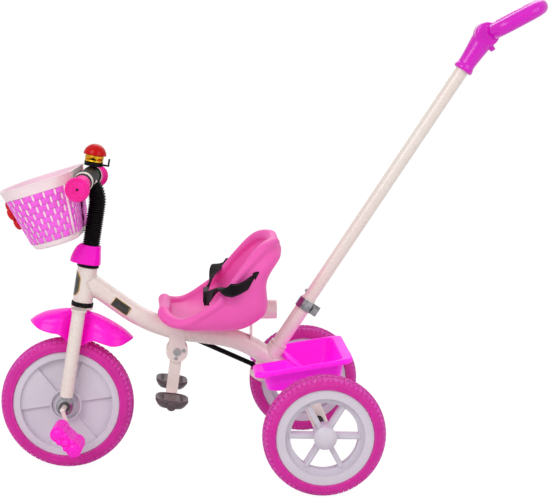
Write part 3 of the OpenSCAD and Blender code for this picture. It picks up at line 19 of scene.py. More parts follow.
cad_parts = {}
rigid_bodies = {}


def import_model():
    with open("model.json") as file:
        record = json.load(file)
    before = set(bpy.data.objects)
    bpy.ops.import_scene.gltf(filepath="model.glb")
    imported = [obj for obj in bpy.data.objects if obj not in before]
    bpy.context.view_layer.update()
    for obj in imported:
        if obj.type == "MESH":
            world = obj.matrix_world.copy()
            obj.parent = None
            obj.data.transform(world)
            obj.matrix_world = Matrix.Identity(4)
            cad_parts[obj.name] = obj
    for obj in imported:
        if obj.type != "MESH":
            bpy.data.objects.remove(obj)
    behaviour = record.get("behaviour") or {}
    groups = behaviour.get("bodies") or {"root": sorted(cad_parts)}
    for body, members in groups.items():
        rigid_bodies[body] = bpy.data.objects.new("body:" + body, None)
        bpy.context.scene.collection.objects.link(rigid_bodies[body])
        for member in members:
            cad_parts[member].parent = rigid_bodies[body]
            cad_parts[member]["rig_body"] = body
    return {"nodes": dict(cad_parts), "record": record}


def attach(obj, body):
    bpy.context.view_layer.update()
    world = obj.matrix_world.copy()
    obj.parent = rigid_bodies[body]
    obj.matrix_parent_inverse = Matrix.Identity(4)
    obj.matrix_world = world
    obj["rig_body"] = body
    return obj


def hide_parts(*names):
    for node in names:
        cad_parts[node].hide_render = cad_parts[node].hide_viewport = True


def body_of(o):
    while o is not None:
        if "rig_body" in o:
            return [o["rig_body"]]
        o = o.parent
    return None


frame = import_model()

LOG = logging.getLogger("trike")
MM = 0.001
TURN = 2 * math.pi
WELD_M = 1e-6
CONVEX = 0.515
FLAT_ANGLE = math.radians(0.4)
WAVE_METRE = math.pi / 10  # scale of a Wave Texture whose bands lie one metre apart
SHARP_DEGREES = 32.0
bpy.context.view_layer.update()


def turned(axis: str, degrees: float) -> Matrix:
    """Turn about one of the axes."""
    return Matrix.Rotation(math.radians(degrees), 4, axis)


def shifted(x: float, y: float, z: float) -> Matrix:
    """Shift in millimetres."""
    return Matrix.Translation((x, y, z))


@dataclass(frozen=True)
class Layout:
    """Places of the sub-assemblies, from the CAD model's own sizes."""

    origin_x: float = 390.064
    front_wheel_r: float = 127.0
    rear_wheel_r: float = 112.0
    wheelbase: float = 472.0
    rear_track: float = 410.0
    rake: float = 9.5
    rest: float = -4.5
    bar_x: float = -23.97
    bar_z: float = 433.4
    bar_mid: float = 40.0
    droop: float = 6.0
    push_foot: tuple[float, float] = (361.27, 167.25)
    push_lean: float = 33.6

    @property
    def placed(self) -> Matrix:
        """Frame of the ground point under the front axle."""
        return shifted(-self.origin_x, 0, 0)

    @property
    def head(self) -> Matrix:
        """Frame of the steering axis, from the front axle."""
        return self.placed @ shifted(0, 0, self.front_wheel_r) @ turned("Y", self.rake)

    @property
    def steered(self) -> Matrix:
        """Frame of the fork at its resting angle."""
        return self.head @ turned("Z", self.rest)

    @property
    def bar(self) -> Matrix:
        """Frame of the handlebar's middle."""
        return self.steered @ shifted(self.bar_x, 0, self.bar_z)

    @property
    def pushed(self) -> Matrix:
        """Frame of the push axis at its resting angle."""
        lean = turned("Y", self.push_lean) @ turned("Z", self.rest)
        return self.placed @ shifted(self.push_foot[0], 0, self.push_foot[1]) @ lean

    def arm(self, side: int) -> Matrix:
        """Frame along one arm of the handlebar, on the left for -1."""
        return self.bar @ shifted(0, side * self.bar_mid, 0) @ turned("X", -side * (90 + self.droop))

    def rear(self, side: int) -> Matrix:
        """Frame of a rear wheel whose Z points away from the trike."""
        spot = shifted(self.wheelbase, side * self.rear_track / 2, self.rear_wheel_r)
        return self.placed @ spot @ turned("X", -side * 90)


LAYOUT = Layout()
SIDES = ((-1, "left"), (1, "right"))


def unit(v: np.ndarray) -> np.ndarray:
    """Vectors brought to length one."""
    return v / np.linalg.norm(v, axis=-1, keepdims=True)


def eased(t: np.ndarray | float) -> np.ndarray | float:
    """Smooth step from 0 to 1."""
    return t * t * (3 - 2 * t)


def leaning(degrees: float) -> tuple[np.ndarray, np.ndarray]:
    """Directions X and Z in the plane of symmetry, tipped forwards and down by an angle."""
    c, d = math.cos(math.radians(degrees)), math.sin(math.radians(degrees))
    return np.array([c, -d]), np.array([d, c])


def run_along(line: np.ndarray) -> np.ndarray:
    """Length of a line up to each of its points."""
    return np.concatenate([[0], np.cumsum(np.linalg.norm(np.diff(line, axis=0), axis=1))])


def sampled(line: np.ndarray, run: np.ndarray, at: np.ndarray) -> np.ndarray:
    """Points of a line at given lengths along it."""
    return np.stack([np.interp(at, run, column) for column in line.T], 1)


def framed(x: np.ndarray, z: np.ndarray, at: np.ndarray) -> Matrix:
    """Frame at a point, from its X and Z directions."""
    made = Matrix(np.column_stack([x, np.cross(z, x), z]).tolist()).to_4x4()
    made.translation = Vector(at)
    return made


def in_metres(place: Matrix) -> Matrix:
    """Frame in metres of one in millimetres."""
    made = place.copy()
    made.translation *= MM
    return made


def shown(name: str, data: bpy.types.ID) -> bpy.types.Object:
    """New object in the scene."""
    made = bpy.data.objects.new(name, data)
    bpy.context.scene.collection.objects.link(made)
    return made


def taken(holder: bpy.types.Object) -> bpy.types.Mesh:
    """Mesh of an object after its modifiers, with the object and its first mesh used up."""
    made = bpy.data.meshes.new_from_object(holder.evaluated_get(bpy.context.evaluated_depsgraph_get()))
    mesh = holder.data
    holder.modifiers.clear()
    bpy.data.objects.remove(holder)
    bpy.data.meshes.remove(mesh)
    return made


def wire(name: str, path: np.ndarray, closed: bool = False) -> bpy.types.Mesh:
    """Mesh of the line through points in millimetres."""
    made, count = bpy.data.meshes.new(name), len(path)
    made.from_pydata((path * MM).tolist(), [(i, (i + 1) % count) for i in range(count - (not closed))], [])
    return made


def feed(tree: bpy.types.NodeTree, node: bpy.types.Node, inputs: dict[str | int, object]) -> None:
    """Link or set the inputs of a node."""
    for key, value in inputs.items():
        if isinstance(value, bpy.types.NodeSocket):
            tree.links.new(value, node.inputs[key])
        else:
            node.inputs[key].default_value = value


def put_node(tree: bpy.types.NodeTree, kind: str, inputs: dict[str | int, object],
             **settings: object) -> bpy.types.Node:
    """New node with its inputs linked or set.

    Args:
        tree: Node tree to put it in.
        kind: Type of the node.
        inputs: Socket or plain value for each input.
        settings: Properties of the node.

    Returns:
        The node.
    """
    node = tree.nodes.new(kind)
    for key, value in settings.items():
        setattr(node, key, value)
    feed(tree, node, inputs)
    return node


@dataclass
class Shape:
    """Points in millimetres with the faces between them."""

    points: np.ndarray
    faces: list[tuple[int, ...]]
    flat: np.ndarray | None = None
    marks: list[int] = field(default_factory=list)

    def moved(self, place: Matrix) -> "Shape":
        """Shape carried to a place."""
        m = np.array(place)
        return Shape(self.points @ m[:3, :3].T + m[:3, 3], self.faces, self.flat, self.marks)

    def joined(self, *others: "Shape") -> "Shape":
        """One shape of this one and others.

        Args:
            others: Shapes without surface lengths or marks.

        Returns:
            All points and faces together.
        """
        points, faces = [self.points], list(self.faces)
        for other in others:
            start = sum(len(p) for p in points)
            faces += [tuple(i + start for i in f) for f in other.faces]
            points.append(other.points)
        return Shape(np.concatenate(points), faces)

    def mesh(self, name: str, closed: bool = True) -> bpy.types.Mesh:
        """Mesh of the shape in metres.

        Args:
            name: Name of the mesh.
            closed: Whether doubles are merged and the faces turned outwards.

        Returns:
            The smooth shaded mesh.
        """
        made = bpy.data.meshes.new(name)
        made.from_pydata((self.points * MM).tolist(), [], self.faces)
        if self.marks:
            made.polygons.foreach_set("material_index", self.marks)
        if self.flat is not None:
            corner = np.empty(len(made.loops), np.int32)
            made.loops.foreach_get("vertex_index", corner)
            layer = made.uv_layers.new(name="flat")
            layer.uv.foreach_set("vector", (self.flat[corner] * MM).astype(np.float32).ravel())
        if closed:
            bm = bmesh.new()
            bm.from_mesh(made)
            bmesh.ops.remove_doubles(bm, verts=bm.verts[:], dist=WELD_M)
            bmesh.ops.recalc_face_normals(bm, faces=bm.faces[:])
            bm.to_mesh(made)
            bm.free()
        made.shade_smooth()
        return made


def grid(points: np.ndarray, rows_meet: bool = False, columns_meet: bool = False,
         capped: bool = False) -> Shape:
    """Shape through rows of points.

    Args:
        points: Array of rows, columns and coordinates.
        rows_meet: Whether the last row joins the first.
        columns_meet: Whether each row is a ring.
        capped: Whether the first and the last ring are filled.

    Returns:
        The quads between the points.
    """
    n, m = points.shape[:2]
    faces = [(i * m + j, (i + 1) % n * m + j, (i + 1) % n * m + (j + 1) % m, i * m + (j + 1) % m)
             for i in range(n - (not rows_meet)) for j in range(m - (not columns_meet))]
    if capped:
        faces += [tuple(range(m))[::-1], tuple((n - 1) * m + j for j in range(m))]
    return Shape(points.reshape(-1, 3).astype(float), faces)


def lathe(profile: list[tuple[float, float]] | np.ndarray, sides: int, closed: bool = False) -> Shape:
    """Turned shape about Z.

    Args:
        profile: Radius and height of each point.
        sides: Points round the axis.
        closed: Whether the profile is a loop.

    Returns:
        The turned surface.
    """
    rz = np.asarray(profile, float)
    a = np.linspace(0, TURN, sides, endpoint=False)
    x, y = np.outer(rz[:, 0], np.cos(a)), np.outer(rz[:, 0], np.sin(a))
    return grid(np.stack([x, y, np.repeat(rz[:, 1:2], sides, 1)], 2), closed, True)


def rounded(corners: list[tuple[float, float, float]], steps: int) -> np.ndarray:
    """Closed flat line with rounded turns.

    Args:
        corners: Place and radius of each turn.
        steps: Parts of each turn.

    Returns:
        Points of the line.
    """
    places = np.array([c[:2] for c in corners], float)
    line = []
    for i, (x, y, r) in enumerate(corners):
        p = np.array([x, y])
        u, v = unit(places[i - 1] - p), unit(places[(i + 1) % len(corners)] - p)
        half = math.acos(np.clip(u @ v, -1, 1)) / 2
        centre = p + unit(u + v) * r / math.sin(half)
        a, b = p + u * r / math.tan(half) - centre, p + v * r / math.tan(half) - centre
        start = math.atan2(a[1], a[0])
        sweep_angle = math.remainder(math.atan2(b[1], b[0]) - start, TURN)
        for t in np.linspace(0, 1, steps + 1):
            angle = start + sweep_angle * t
            line.append(centre + r * np.array([math.cos(angle), math.sin(angle)]))
    return np.array(line)


def circle(sides: int) -> np.ndarray:
    """Section of a round bar of radius one."""
    a = np.linspace(0, TURN, sides, endpoint=False)
    return np.stack([np.cos(a), np.sin(a)], 1)


def boxed(x: float, y: float, r: float, steps: int) -> np.ndarray:
    """Rounded rectangle about the origin, from its half sizes."""
    return rounded([(-x, -y, r), (x, -y, r), (x, y, r), (-x, y, r)], steps)


def sweep(path: np.ndarray, section: np.ndarray, up: np.ndarray, closed: bool = False,
          sizes: np.ndarray | float = 1.0) -> Shape:
    """Bar of one section along a path.

    Args:
        path: Points of the middle line.
        section: Points across, along the side and the up directions.
        up: Up direction, for all points or for each.
        closed: Whether the path is a loop.
        sizes: Size of the section, for all points or for each.

    Returns:
        The bar, with its ends filled where it is open.
    """
    ahead, behind = np.roll(path, -1, 0), np.roll(path, 1, 0)
    if not closed:
        ahead[-1], behind[0] = path[-1], path[0]
    along = unit(ahead - behind)
    side = unit(np.cross(np.broadcast_to(up, path.shape), along))
    over = np.cross(along, side)
    cut = section[None] * np.reshape(sizes, (-1, 1, 1))
    points = path[:, None] + cut[..., :1] * side[:, None] + cut[..., 1:] * over[:, None]
    return grid(points, closed, True, not closed)


def straight(section: np.ndarray, low: float, high: float, up: tuple[float, float, float],
             count: int = 5) -> Shape:
    """Bar of one section along Z, between two heights."""
    return sweep(np.array([[0, 0, z] for z in np.linspace(low, high, count)]), section, np.array(up))


def through(rows: np.ndarray, s: float) -> np.ndarray:
    """Point on the smooth curve through rows, at s counted in rows."""
    last = len(rows) - 1
    i = min(int(s), last - 1)
    a, b, c, d = rows[max(i - 1, 0)], rows[i], rows[i + 1], rows[min(i + 2, last)]
    f = s - i
    square, cube = 2 * a - 5 * b + 4 * c - d, 3 * b - a - 3 * c + d
    return b + (c - a) * f / 2 + square * f**2 / 2 + cube * f**3 / 2


def settled(mesh: bpy.types.Mesh, *steps: tuple[str, dict[str, object]]) -> bpy.types.Mesh:
    """Mesh after modifiers.

    Args:
        mesh: Mesh to start from, used up.
        steps: Kind and settings of each modifier.

    Returns:
        The finished mesh.
    """
    holder = shown(mesh.name, mesh)
    for kind, values in steps:
        step = holder.modifiers.new(kind.lower(), kind)
        for key, value in values.items():
            setattr(step, key, value)
    return taken(holder)


def bevelled(mesh: bpy.types.Mesh, width: float, segments: int,
             angle: float = SHARP_DEGREES) -> bpy.types.Mesh:
    """Mesh with its sharp edges rounded and its flats kept flat.

    Args:
        mesh: Mesh to start from, used up.
        width: Width of the rounding in millimetres.
        segments: Faces across the rounding.
        angle: Least turn of an edge that is rounded, in degrees.

    Returns:
        The rounded mesh.
    """
    return settled(mesh, ("BEVEL", {"width": width * MM, "segments": segments, "limit_method": "ANGLE",
                                    "angle_limit": math.radians(angle)}),
                   ("WEIGHTED_NORMAL", {"keep_sharp": True}))


def softened(node: str, width: float, segments: int = 2) -> bpy.types.Mesh:
    """Copy of a CAD node with merged points and rounded edges.

    Args:
        node: Name of the node.
        width: Width of the rounding in millimetres, 0 to keep the edges sharp.
        segments: Faces across the rounding.

    Returns:
        The rounded copy.
    """
    bm = bmesh.new()
    bm.from_mesh(frame["nodes"][node].data)
    bmesh.ops.remove_doubles(bm, verts=bm.verts[:], dist=2 * WELD_M)
    if width:
        bmesh.ops.dissolve_limit(bm, angle_limit=FLAT_ANGLE, verts=bm.verts[:], edges=bm.edges[:])
    bm.verts.index_update()
    plain = bpy.data.meshes.new(node)
    plain.from_pydata([v.co[:] for v in bm.verts], [], [[v.index for v in f.verts] for f in bm.faces])
    bm.free()
    plain.shade_smooth()
    if not width:
        plain.set_sharp_from_angle(angle=math.radians(SHARP_DEGREES))
        return plain
    return bevelled(plain, width, segments)


class Tree:
    """Geometry Nodes tree with named inputs that ends in realised, dressed instances."""

    def __init__(self, name: str, **inputs: str) -> None:
        """Open a tree.

        Args:
            name: Name of the tree.
            inputs: Kind of each named input besides the geometry and the material.
        """
        self.group = bpy.data.node_groups.new(name, "GeometryNodeTree")
        face = self.group.interface
        face.new_socket("Geometry", in_out="OUTPUT", socket_type="NodeSocketGeometry")
        kinds = {"Geometry": "Geometry", "Material": "Material", **inputs}
        self.keys = {label: face.new_socket(label, in_out="INPUT", socket_type="NodeSocket" + kind).identifier
                     for label, kind in kinds.items()}
        self.given = self.group.nodes.new("NodeGroupInput").outputs

    def put(self, kind: str, inputs: dict[str | int, object], **settings: object) -> bpy.types.Node:
        """New node of the tree."""
        return put_node(self.group, kind, inputs, **settings)

    def end(self, geometry: bpy.types.NodeSocket) -> "Tree":
        """Close the tree with Realize Instances and Set Material."""
        real = self.put("GeometryNodeRealizeInstances", {"Geometry": geometry}).outputs[0]
        dressed = self.put("GeometryNodeSetMaterial", {"Geometry": real, "Material": self.given["Material"]})
        self.put("NodeGroupOutput", {0: dressed.outputs[0]})
        return self

    def grown(self, mesh: bpy.types.Mesh, **values: object) -> bpy.types.Mesh:
        """Plain mesh that the tree makes.

        Args:
            mesh: Mesh that the tree starts from, used up.
            values: Value of each named input.

        Returns:
            The made mesh.
        """
        holder = shown(mesh.name, mesh)
        step = holder.modifiers.new("tree", "NODES")
        step.node_group = self.group
        for label, value in values.items():
            step[self.keys[label]] = value
        made = taken(holder)
        made.shade_smooth()
        return made


@cache
def ring_tree() -> Tree:
    """Tree that repeats its mesh about Z."""
    tree = Tree("round_the_axis", Copies="Int", Step="Float")
    points = tree.put("GeometryNodePoints", {"Count": tree.given["Copies"]}).outputs[0]
    index = tree.put("GeometryNodeInputIndex", {}).outputs[0]
    angle = tree.put("ShaderNodeMath", {0: index, 1: tree.given["Step"]}, operation="MULTIPLY").outputs[0]
    euler = tree.put("ShaderNodeCombineXYZ", {"Z": angle}).outputs[0]
    turn = tree.put("FunctionNodeEulerToRotation", {"Euler": euler}).outputs[0]
    copies = tree.put("GeometryNodeInstanceOnPoints", {
        "Points": points, "Instance": tree.given["Geometry"], "Rotation": turn})
    return tree.end(copies.outputs[0])


@cache
def place_tree() -> Tree:
    """Tree that sets a piece on each point of a guide, turned and sized as the guide says."""
    tree = Tree("on_the_guide", Piece="Object")
    points = tree.put("GeometryNodeMeshToPoints", {"Mesh": tree.given["Geometry"]}).outputs[0]
    piece = tree.put("GeometryNodeObjectInfo", {"Object": tree.given["Piece"]}).outputs["Geometry"]
    told = {label: tree.put("GeometryNodeInputNamedAttribute", {"Name": label},
                            data_type="FLOAT_VECTOR").outputs[0] for label in ("turn", "size")}
    turn = tree.put("FunctionNodeEulerToRotation", {"Euler": told["turn"]}).outputs[0]
    copies = tree.put("GeometryNodeInstanceOnPoints", {
        "Points": points, "Instance": piece, "Rotation": turn, "Scale": told["size"]})
    return tree.end(copies.outputs[0])


@cache
def path_tree() -> Tree:
    """Tree that makes a rippled round bar along a path."""
    tree = Tree("rippled_bar", Radius="Float", Ripple="Float", Rings="Int", Phase="Float", Sides="Int")
    curve = tree.put("GeometryNodeMeshToCurve", {"Mesh": tree.given["Geometry"]}).outputs[0]
    even = tree.put("GeometryNodeResampleCurve", {"Curve": curve, "Count": tree.given["Rings"]}).outputs[0]
    index = tree.put("GeometryNodeInputIndex", {}).outputs[0]
    angle = tree.put("ShaderNodeMath", {0: index, 1: tree.given["Phase"]}, operation="MULTIPLY").outputs[0]
    wave = tree.put("ShaderNodeMath", {0: angle}, operation="COSINE").outputs[0]
    scale = tree.put("ShaderNodeMath", {0: wave, 1: tree.given["Ripple"], 2: 1.0},
                     operation="MULTIPLY_ADD").outputs[0]
    section = tree.put("GeometryNodeCurvePrimitiveCircle", {
        "Resolution": tree.given["Sides"], "Radius": tree.given["Radius"]}).outputs[0]
    bar = tree.put("GeometryNodeCurveToMesh", {
        "Curve": even, "Profile Curve": section, "Scale": scale, "Fill Caps": True})
    return tree.end(bar.outputs[0])


def linear(colour: str, share: float = 1.0) -> tuple[float, float, float, float]:
    """Scene colour of a written colour, made darker or lighter by a share."""
    parts = [int(colour[i:i + 2], 16) / 255 for i in (1, 3, 5)]
    made = [c / 12.92 if c <= 0.04045 else ((c + 0.055) / 1.055) ** 2.4 for c in parts]
    return (*[min(1.0, c * share) for c in made], 1.0)


class Shader:
    """Principled material with short calls for its nodes."""

    def __init__(self, name: str) -> None:
        """Open a material."""
        self.material = bpy.data.materials.new(name)
        self.material.use_nodes = True
        self.tree = self.material.node_tree
        self.base = self.tree.nodes["Principled BSDF"]
        self.where = self.tree.nodes.new("ShaderNodeTexCoord").outputs
        self.normal: bpy.types.NodeSocket | None = None

    def put(self, kind: str, inputs: dict[str | int, object], **settings: object) -> bpy.types.Node:
        """New node of the material."""
        return put_node(self.tree, kind, inputs, **settings)

    def set(self, **inputs: object) -> None:
        """Link or set the shader's own sockets, with _ for a space."""
        feed(self.tree, self.base, {key.replace("_", " "): value for key, value in inputs.items()})

    def spot(self, stretch: tuple[float, float, float] = (1, 1, 1)) -> bpy.types.NodeSocket:
        """Surface place, stretched along its axes."""
        return self.put("ShaderNodeMapping", {"Vector": self.where["Object"], "Scale": stretch}).outputs[0]

    def cells(self, scale: float) -> bpy.types.NodeSocket:
        """Distance to the nearest of scattered points, of a scale per metre."""
        return self.put("ShaderNodeTexVoronoi", {"Vector": self.spot(), "Scale": scale}).outputs[0]

    def clouded(self, scale: float, detail: float, span: tuple[float, float], a: object,
                b: object) -> bpy.types.NodeSocket:
        """Colour that drifts between two with noise, which counts between the ends of a span."""
        return self.mixed(self.drift(scale, detail, 0, 1, span), a, b)

    def drift(self, scale: float, detail: float, low: float, high: float,
             span: tuple[float, float] = (0.3, 0.7)) -> bpy.types.NodeSocket:
        """Value that drifts between two with noise, which counts between the ends of a span."""
        return self.ranged(self.noise(scale, detail), *span, low, high)

    def noise(self, scale: float, detail: float = 2.0,
              stretch: tuple[float, float, float] = (1, 1, 1)) -> bpy.types.NodeSocket:
        """Noise of a scale per metre."""
        return self.put("ShaderNodeTexNoise", {
            "Vector": self.spot(stretch), "Scale": scale, "Detail": detail}).outputs[0]

    def ranged(self, value: bpy.types.NodeSocket, low: float, high: float, start: float,
               end: float) -> bpy.types.NodeSocket:
        """Value between low and high brought between start and end."""
        return self.put("ShaderNodeMapRange", {0: value, 1: low, 2: high, 3: start, 4: end}).outputs[0]

    def mixed(self, factor: bpy.types.NodeSocket, a: object, b: object) -> bpy.types.NodeSocket:
        """Colour between two, by a factor."""
        return self.put("ShaderNodeMix", {0: factor, 6: a, 7: b}, data_type="RGBA").outputs[2]

    def times(self, a: bpy.types.NodeSocket, b: object) -> bpy.types.NodeSocket:
        """Product of two values."""
        return self.put("ShaderNodeMath", {0: a, 1: b}, operation="MULTIPLY").outputs[0]

    def bump(self, height: bpy.types.NodeSocket, depth: float) -> None:
        """Raise the surface by a height of at most a depth in millimetres."""
        inputs = {"Height": height, "Distance": depth * MM}
        if self.normal:
            inputs["Normal"] = self.normal
        self.normal = self.put("ShaderNodeBump", inputs).outputs[0]
        self.set(Normal=self.normal)

    def worn(self, reach: float = 0.045) -> bpy.types.NodeSocket:
        """Share of wear along convex edges, broken up."""
        edge = self.put("ShaderNodeNewGeometry", {}).outputs["Pointiness"]
        broken = self.drift(160, 3, 0, 1, (0.4, 0.65))
        return self.times(self.ranged(edge, CONVEX, CONVEX + reach, 0, 1), broken)


@dataclass(frozen=True)
class Finish:
    """One procedural finish, made once."""

    name: str
    colour: str

    def dress(self, shader: Shader) -> None:
        """Fill the material; each finish has its own way."""
        raise NotImplementedError

    @cache
    def material(self) -> bpy.types.Material:
        """Material of the finish."""
        shader = Shader(self.name)
        self.dress(shader)
        return shader.material


@dataclass(frozen=True)
class Moulded(Finish):
    """Moulded plastic with faint flow marks, a fine grain and pale worn edges; some glow in their own colour,
    painted light that makes their pinks read brighter.
    """

    rough: float = 0.34
    grain: float = 1500.0
    relief: float = 0.012
    gloss: float = 0.35
    neon: float = 0.0
    coat: float = 0.0
    spread: float = 0.04
    wear: float = 0.06

    def dress(self, shader: Shader) -> None:
        """Fill the material."""
        flow = shader.noise(9, 3, (1, 1, 2.5))
        tone = shader.mixed(shader.ranged(flow, 0.3, 0.7, 0, 1), linear(self.colour, 1 - self.spread),
                            linear(self.colour, 1 + self.spread))
        edge = shader.times(shader.worn(), self.wear)
        pale = tuple(0.55 * c + 0.45 for c in linear(self.colour)[:3]) + (1.0,)
        # Emission in the plastic's own colour is painted light, a glow that brightens the pinks.
        shader.set(Base_Color=shader.mixed(edge, tone, pale),
                   Roughness=shader.drift(60, 4, self.rough - 0.04, self.rough + 0.05, (0.25, 0.75)),
                   Specular_IOR_Level=self.gloss, Coat_Weight=self.coat, Coat_Roughness=0.12,
                   Emission_Color=linear(self.colour), Emission_Strength=self.neon)
        shader.bump(shader.noise(self.grain, 2), self.relief)


@dataclass(frozen=True)
class Enamel(Finish):
    """Baked enamel on steel, with orange peel, a faint second tone clouded in and a few tiny scuffs; on the
    cream frame the pink tone is a painted reflection of the pink parts nearby.
    """

    cast: str = "#EEDDD6"
    rough: float = 0.26

    def dress(self, shader: Shader) -> None:
        """Fill the material."""
        # The cast tone clouds in at random; on the cream frame it is a painted pink reflection of the pink
        # parts.
        tone = shader.clouded(7, 2, (0.35, 0.7), linear(self.colour), linear(self.cast))
        scuff = shader.times(shader.drift(420, 5, 0, 0.12, (0.7, 0.76)),
                             shader.drift(30, 2, 0, 1, (0.5, 0.65)))
        edge = shader.times(shader.worn(), 0.1)
        scuffed = shader.mixed(scuff, tone, linear(self.colour, 0.5))
        shader.set(Base_Color=shader.mixed(edge, scuffed, linear("#B9A9A3")),
                   Roughness=shader.drift(90, 3, self.rough - 0.03, self.rough + 0.05),
                   Coat_Weight=0.35, Coat_Roughness=0.08)
        shader.bump(shader.noise(400, 1), 0.006)


@dataclass(frozen=True)
class Foam(Finish):
    """Foam tyre with small pores, cloudy colour and a dull sheen."""

    def dress(self, shader: Shader) -> None:
        """Fill the material."""
        tone = shader.clouded(28, 4, (0.3, 0.7), linear(self.colour, 0.95), linear(self.colour, 1.05))
        dust = shader.times(shader.worn(0.06), 0.25)
        shader.set(Base_Color=shader.mixed(dust, tone, linear("#E08CCB")),
                   Roughness=shader.drift(70, 3, 0.52, 0.72),
                   Specular_IOR_Level=0.3, Sheen_Weight=0.05, Sheen_Roughness=0.45)
        shader.bump(shader.ranged(shader.cells(620.0), 0.05, 0.45, 0, 1), 0.09)
        shader.bump(shader.noise(140, 3), 0.12)


@dataclass(frozen=True)
class Rubber(Finish):
    """Soft rubber or vinyl with a fine pebble and a greasy sheen."""

    rough: float = 0.5
    relief: float = 0.06
    dusty: float = 0.25
    gloss: float = 0.28

    def dress(self, shader: Shader) -> None:
        """Fill the material."""
        tone = shader.clouded(40, 3, (0.3, 0.7), linear(self.colour, 0.85), linear(self.colour, 1.2))
        pale = tuple(0.7 * c + 0.12 for c in linear(self.colour)[:3]) + (1.0,)
        shader.set(Base_Color=shader.mixed(shader.times(shader.worn(), self.dusty), tone, pale),
                   Roughness=shader.drift(120, 3, self.rough - 0.1, self.rough + 0.1),
                   Specular_IOR_Level=self.gloss, Coat_Weight=0.2 * self.gloss, Coat_Roughness=0.3)
        shader.bump(shader.cells(900.0), self.relief)


@dataclass(frozen=True)
class Plated(Finish):
    """Plated metal with fine brushing and patches of darker colour: handling marks, and on chrome painted
    dark reflections.
    """

    rough: float = 0.18
    deep: float = 0.78
    brush: tuple[float, float, float] = (1, 1, 14)

    def dress(self, shader: Shader) -> None:
        """Fill the material."""
        lines = shader.noise(260, 3, self.brush)
        # Colour clouds down to deep of itself in patches; on chrome, at 0.3, these are painted dark
        # reflections.
        tone = shader.clouded(55, 3, (0.35, 0.7), linear(self.colour), linear(self.colour, self.deep))
        shader.set(Base_Color=tone, Metallic=1.0,
                   Roughness=shader.ranged(lines, 0.3, 0.7, self.rough - 0.05, self.rough + 0.12))
        shader.bump(lines, 0.012)


@dataclass(frozen=True)
class Webbing(Finish):
    """Woven strap: warp and weft along its own surface lengths."""

    warp_mm: float = 1.25
    weft_mm: float = 0.95

    def dress(self, shader: Shader) -> None:
        """Fill the material."""
        flat = shader.where["UV"]
        waves = [shader.put("ShaderNodeTexWave", {"Vector": flat, "Scale": WAVE_METRE / (mm * MM)},
                            bands_direction=way).outputs["Fac"]
                 for mm, way in ((self.warp_mm, "Y"), (self.weft_mm, "X"))]
        weave = shader.times(waves[0], shader.ranged(waves[1], 0, 1, 0.35, 1))
        fuzz = shader.noise(1800, 2)
        # Tone follows the weave's height: painted shade in its dips and painted highlight on its crests.
        tone = shader.mixed(weave, linear(self.colour, 0.45), linear(self.colour, 1.5))
        shader.set(Base_Color=shader.mixed(shader.ranged(fuzz, 0.6, 0.8, 0, 0.15), tone, linear("#4A434B")),
                   Roughness=shader.ranged(weave, 0, 1, 0.82, 0.6),
                   Specular_IOR_Level=0.15, Sheen_Weight=0.04, Sheen_Roughness=0.4)
        shader.bump(weave, 0.16)
        shader.bump(fuzz, 0.05)


class Slot(Enum):
    """Finish of each of the record's material slots."""

    # The cream frame's pink cast is a painted reflection of the pink parts nearby.
    frame_paint = Enamel("cream_enamel", "#F0E6DE")
    zinc = Plated("zinc_plate", "#A8A7AA", 0.28)
    # Chrome clouds down to 0.3 of its colour: painted dark reflections.
    chrome_plate = Plated("chrome_plate", "#B4B2B8", 0.1, 0.3)
    tyre_foam = Foam("violet_foam", "#D6269E")
    rim_plastic = Moulded("lavender_plastic", "#D9D1DD", 0.4, spread=0.02, wear=0.04)
    # neon is emission, painted light that makes these pinks read brighter.
    seat_plastic = Moulded("seat_plastic", "#F25CB6", 0.4, spread=0.03, gloss=0.3, neon=0.04)
    bin_plastic = Moulded("bin_plastic", "#FF18E6", 0.34, spread=0.02, gloss=0.2, neon=0.2)
    guard_plastic = Moulded("guard_plastic", "#FF0CCE", 0.28, spread=0.03, gloss=0.3, neon=0.1)
    grip_rubber = Rubber("pink_grip", "#FF1098", 0.45, 0.02)
    black_plastic = Moulded("black_plastic", "#080608", 0.48, relief=0.02, spread=0.1, gloss=0.08)
    bellows_rubber = Rubber("black_bellows", "#080608", 0.45, dusty=0.12, gloss=0.1)
    bell_paint = Moulded("red_bell_paint", "#CC0008", 0.2, gloss=0.16, coat=0.06)
    bell_brass = Plated("bell_brass", "#E8B428", 0.2)
    basket_plastic = Moulded("pale_basket_plastic", "#FBE6EA", 0.36, spread=0.03)
    strap_plastic = Moulded("white_strap", "#E9E1D8", 0.42)
    flower_plastic = Moulded("red_flower", "#D4000C", 0.36, spread=0.05, gloss=0.2)
    handle_plastic = Moulded("violet_handle", "#D808C4", 0.22, coat=0.2, neon=0.05)
    webbing = Webbing("black_webbing", "#100C10")
    pad_rubber = Rubber("dark_pad", "#54464A", 0.34, 0.03)
    cap_red = Moulded("red_cap", "#E3122A", 0.3)
    plate_gold = Plated("gold_plate", "#C9A24A", 0.3)


WEAVE_PINK = Moulded("pink_weave", "#FF6AEA", 0.4, spread=0.04, gloss=0.2)
# Lighter copy of the tyre foam for the lugs: a painted highlight on the raised tread.
HIGHLIGHT_TREAD = Foam("violet_tread", "#E036B2")
PLATE_BLACK = Enamel("black_plate", "#17130F", "#211B15", 0.3)
WELD = Enamel("weld_enamel", "#EADDD4", "#E6D6CE", 0.34)
DARK_SCREW = Plated("dark_screw", "#6E6A70", 0.3)
THREAD = Moulded("stitch_thread", "#3B363B", 0.6)


@dataclass
class Spot:
    """Place of one copy, in millimetres, with its size along its own axes."""

    place: Matrix
    size: tuple[float, float, float] = (1.0, 1.0, 1.0)


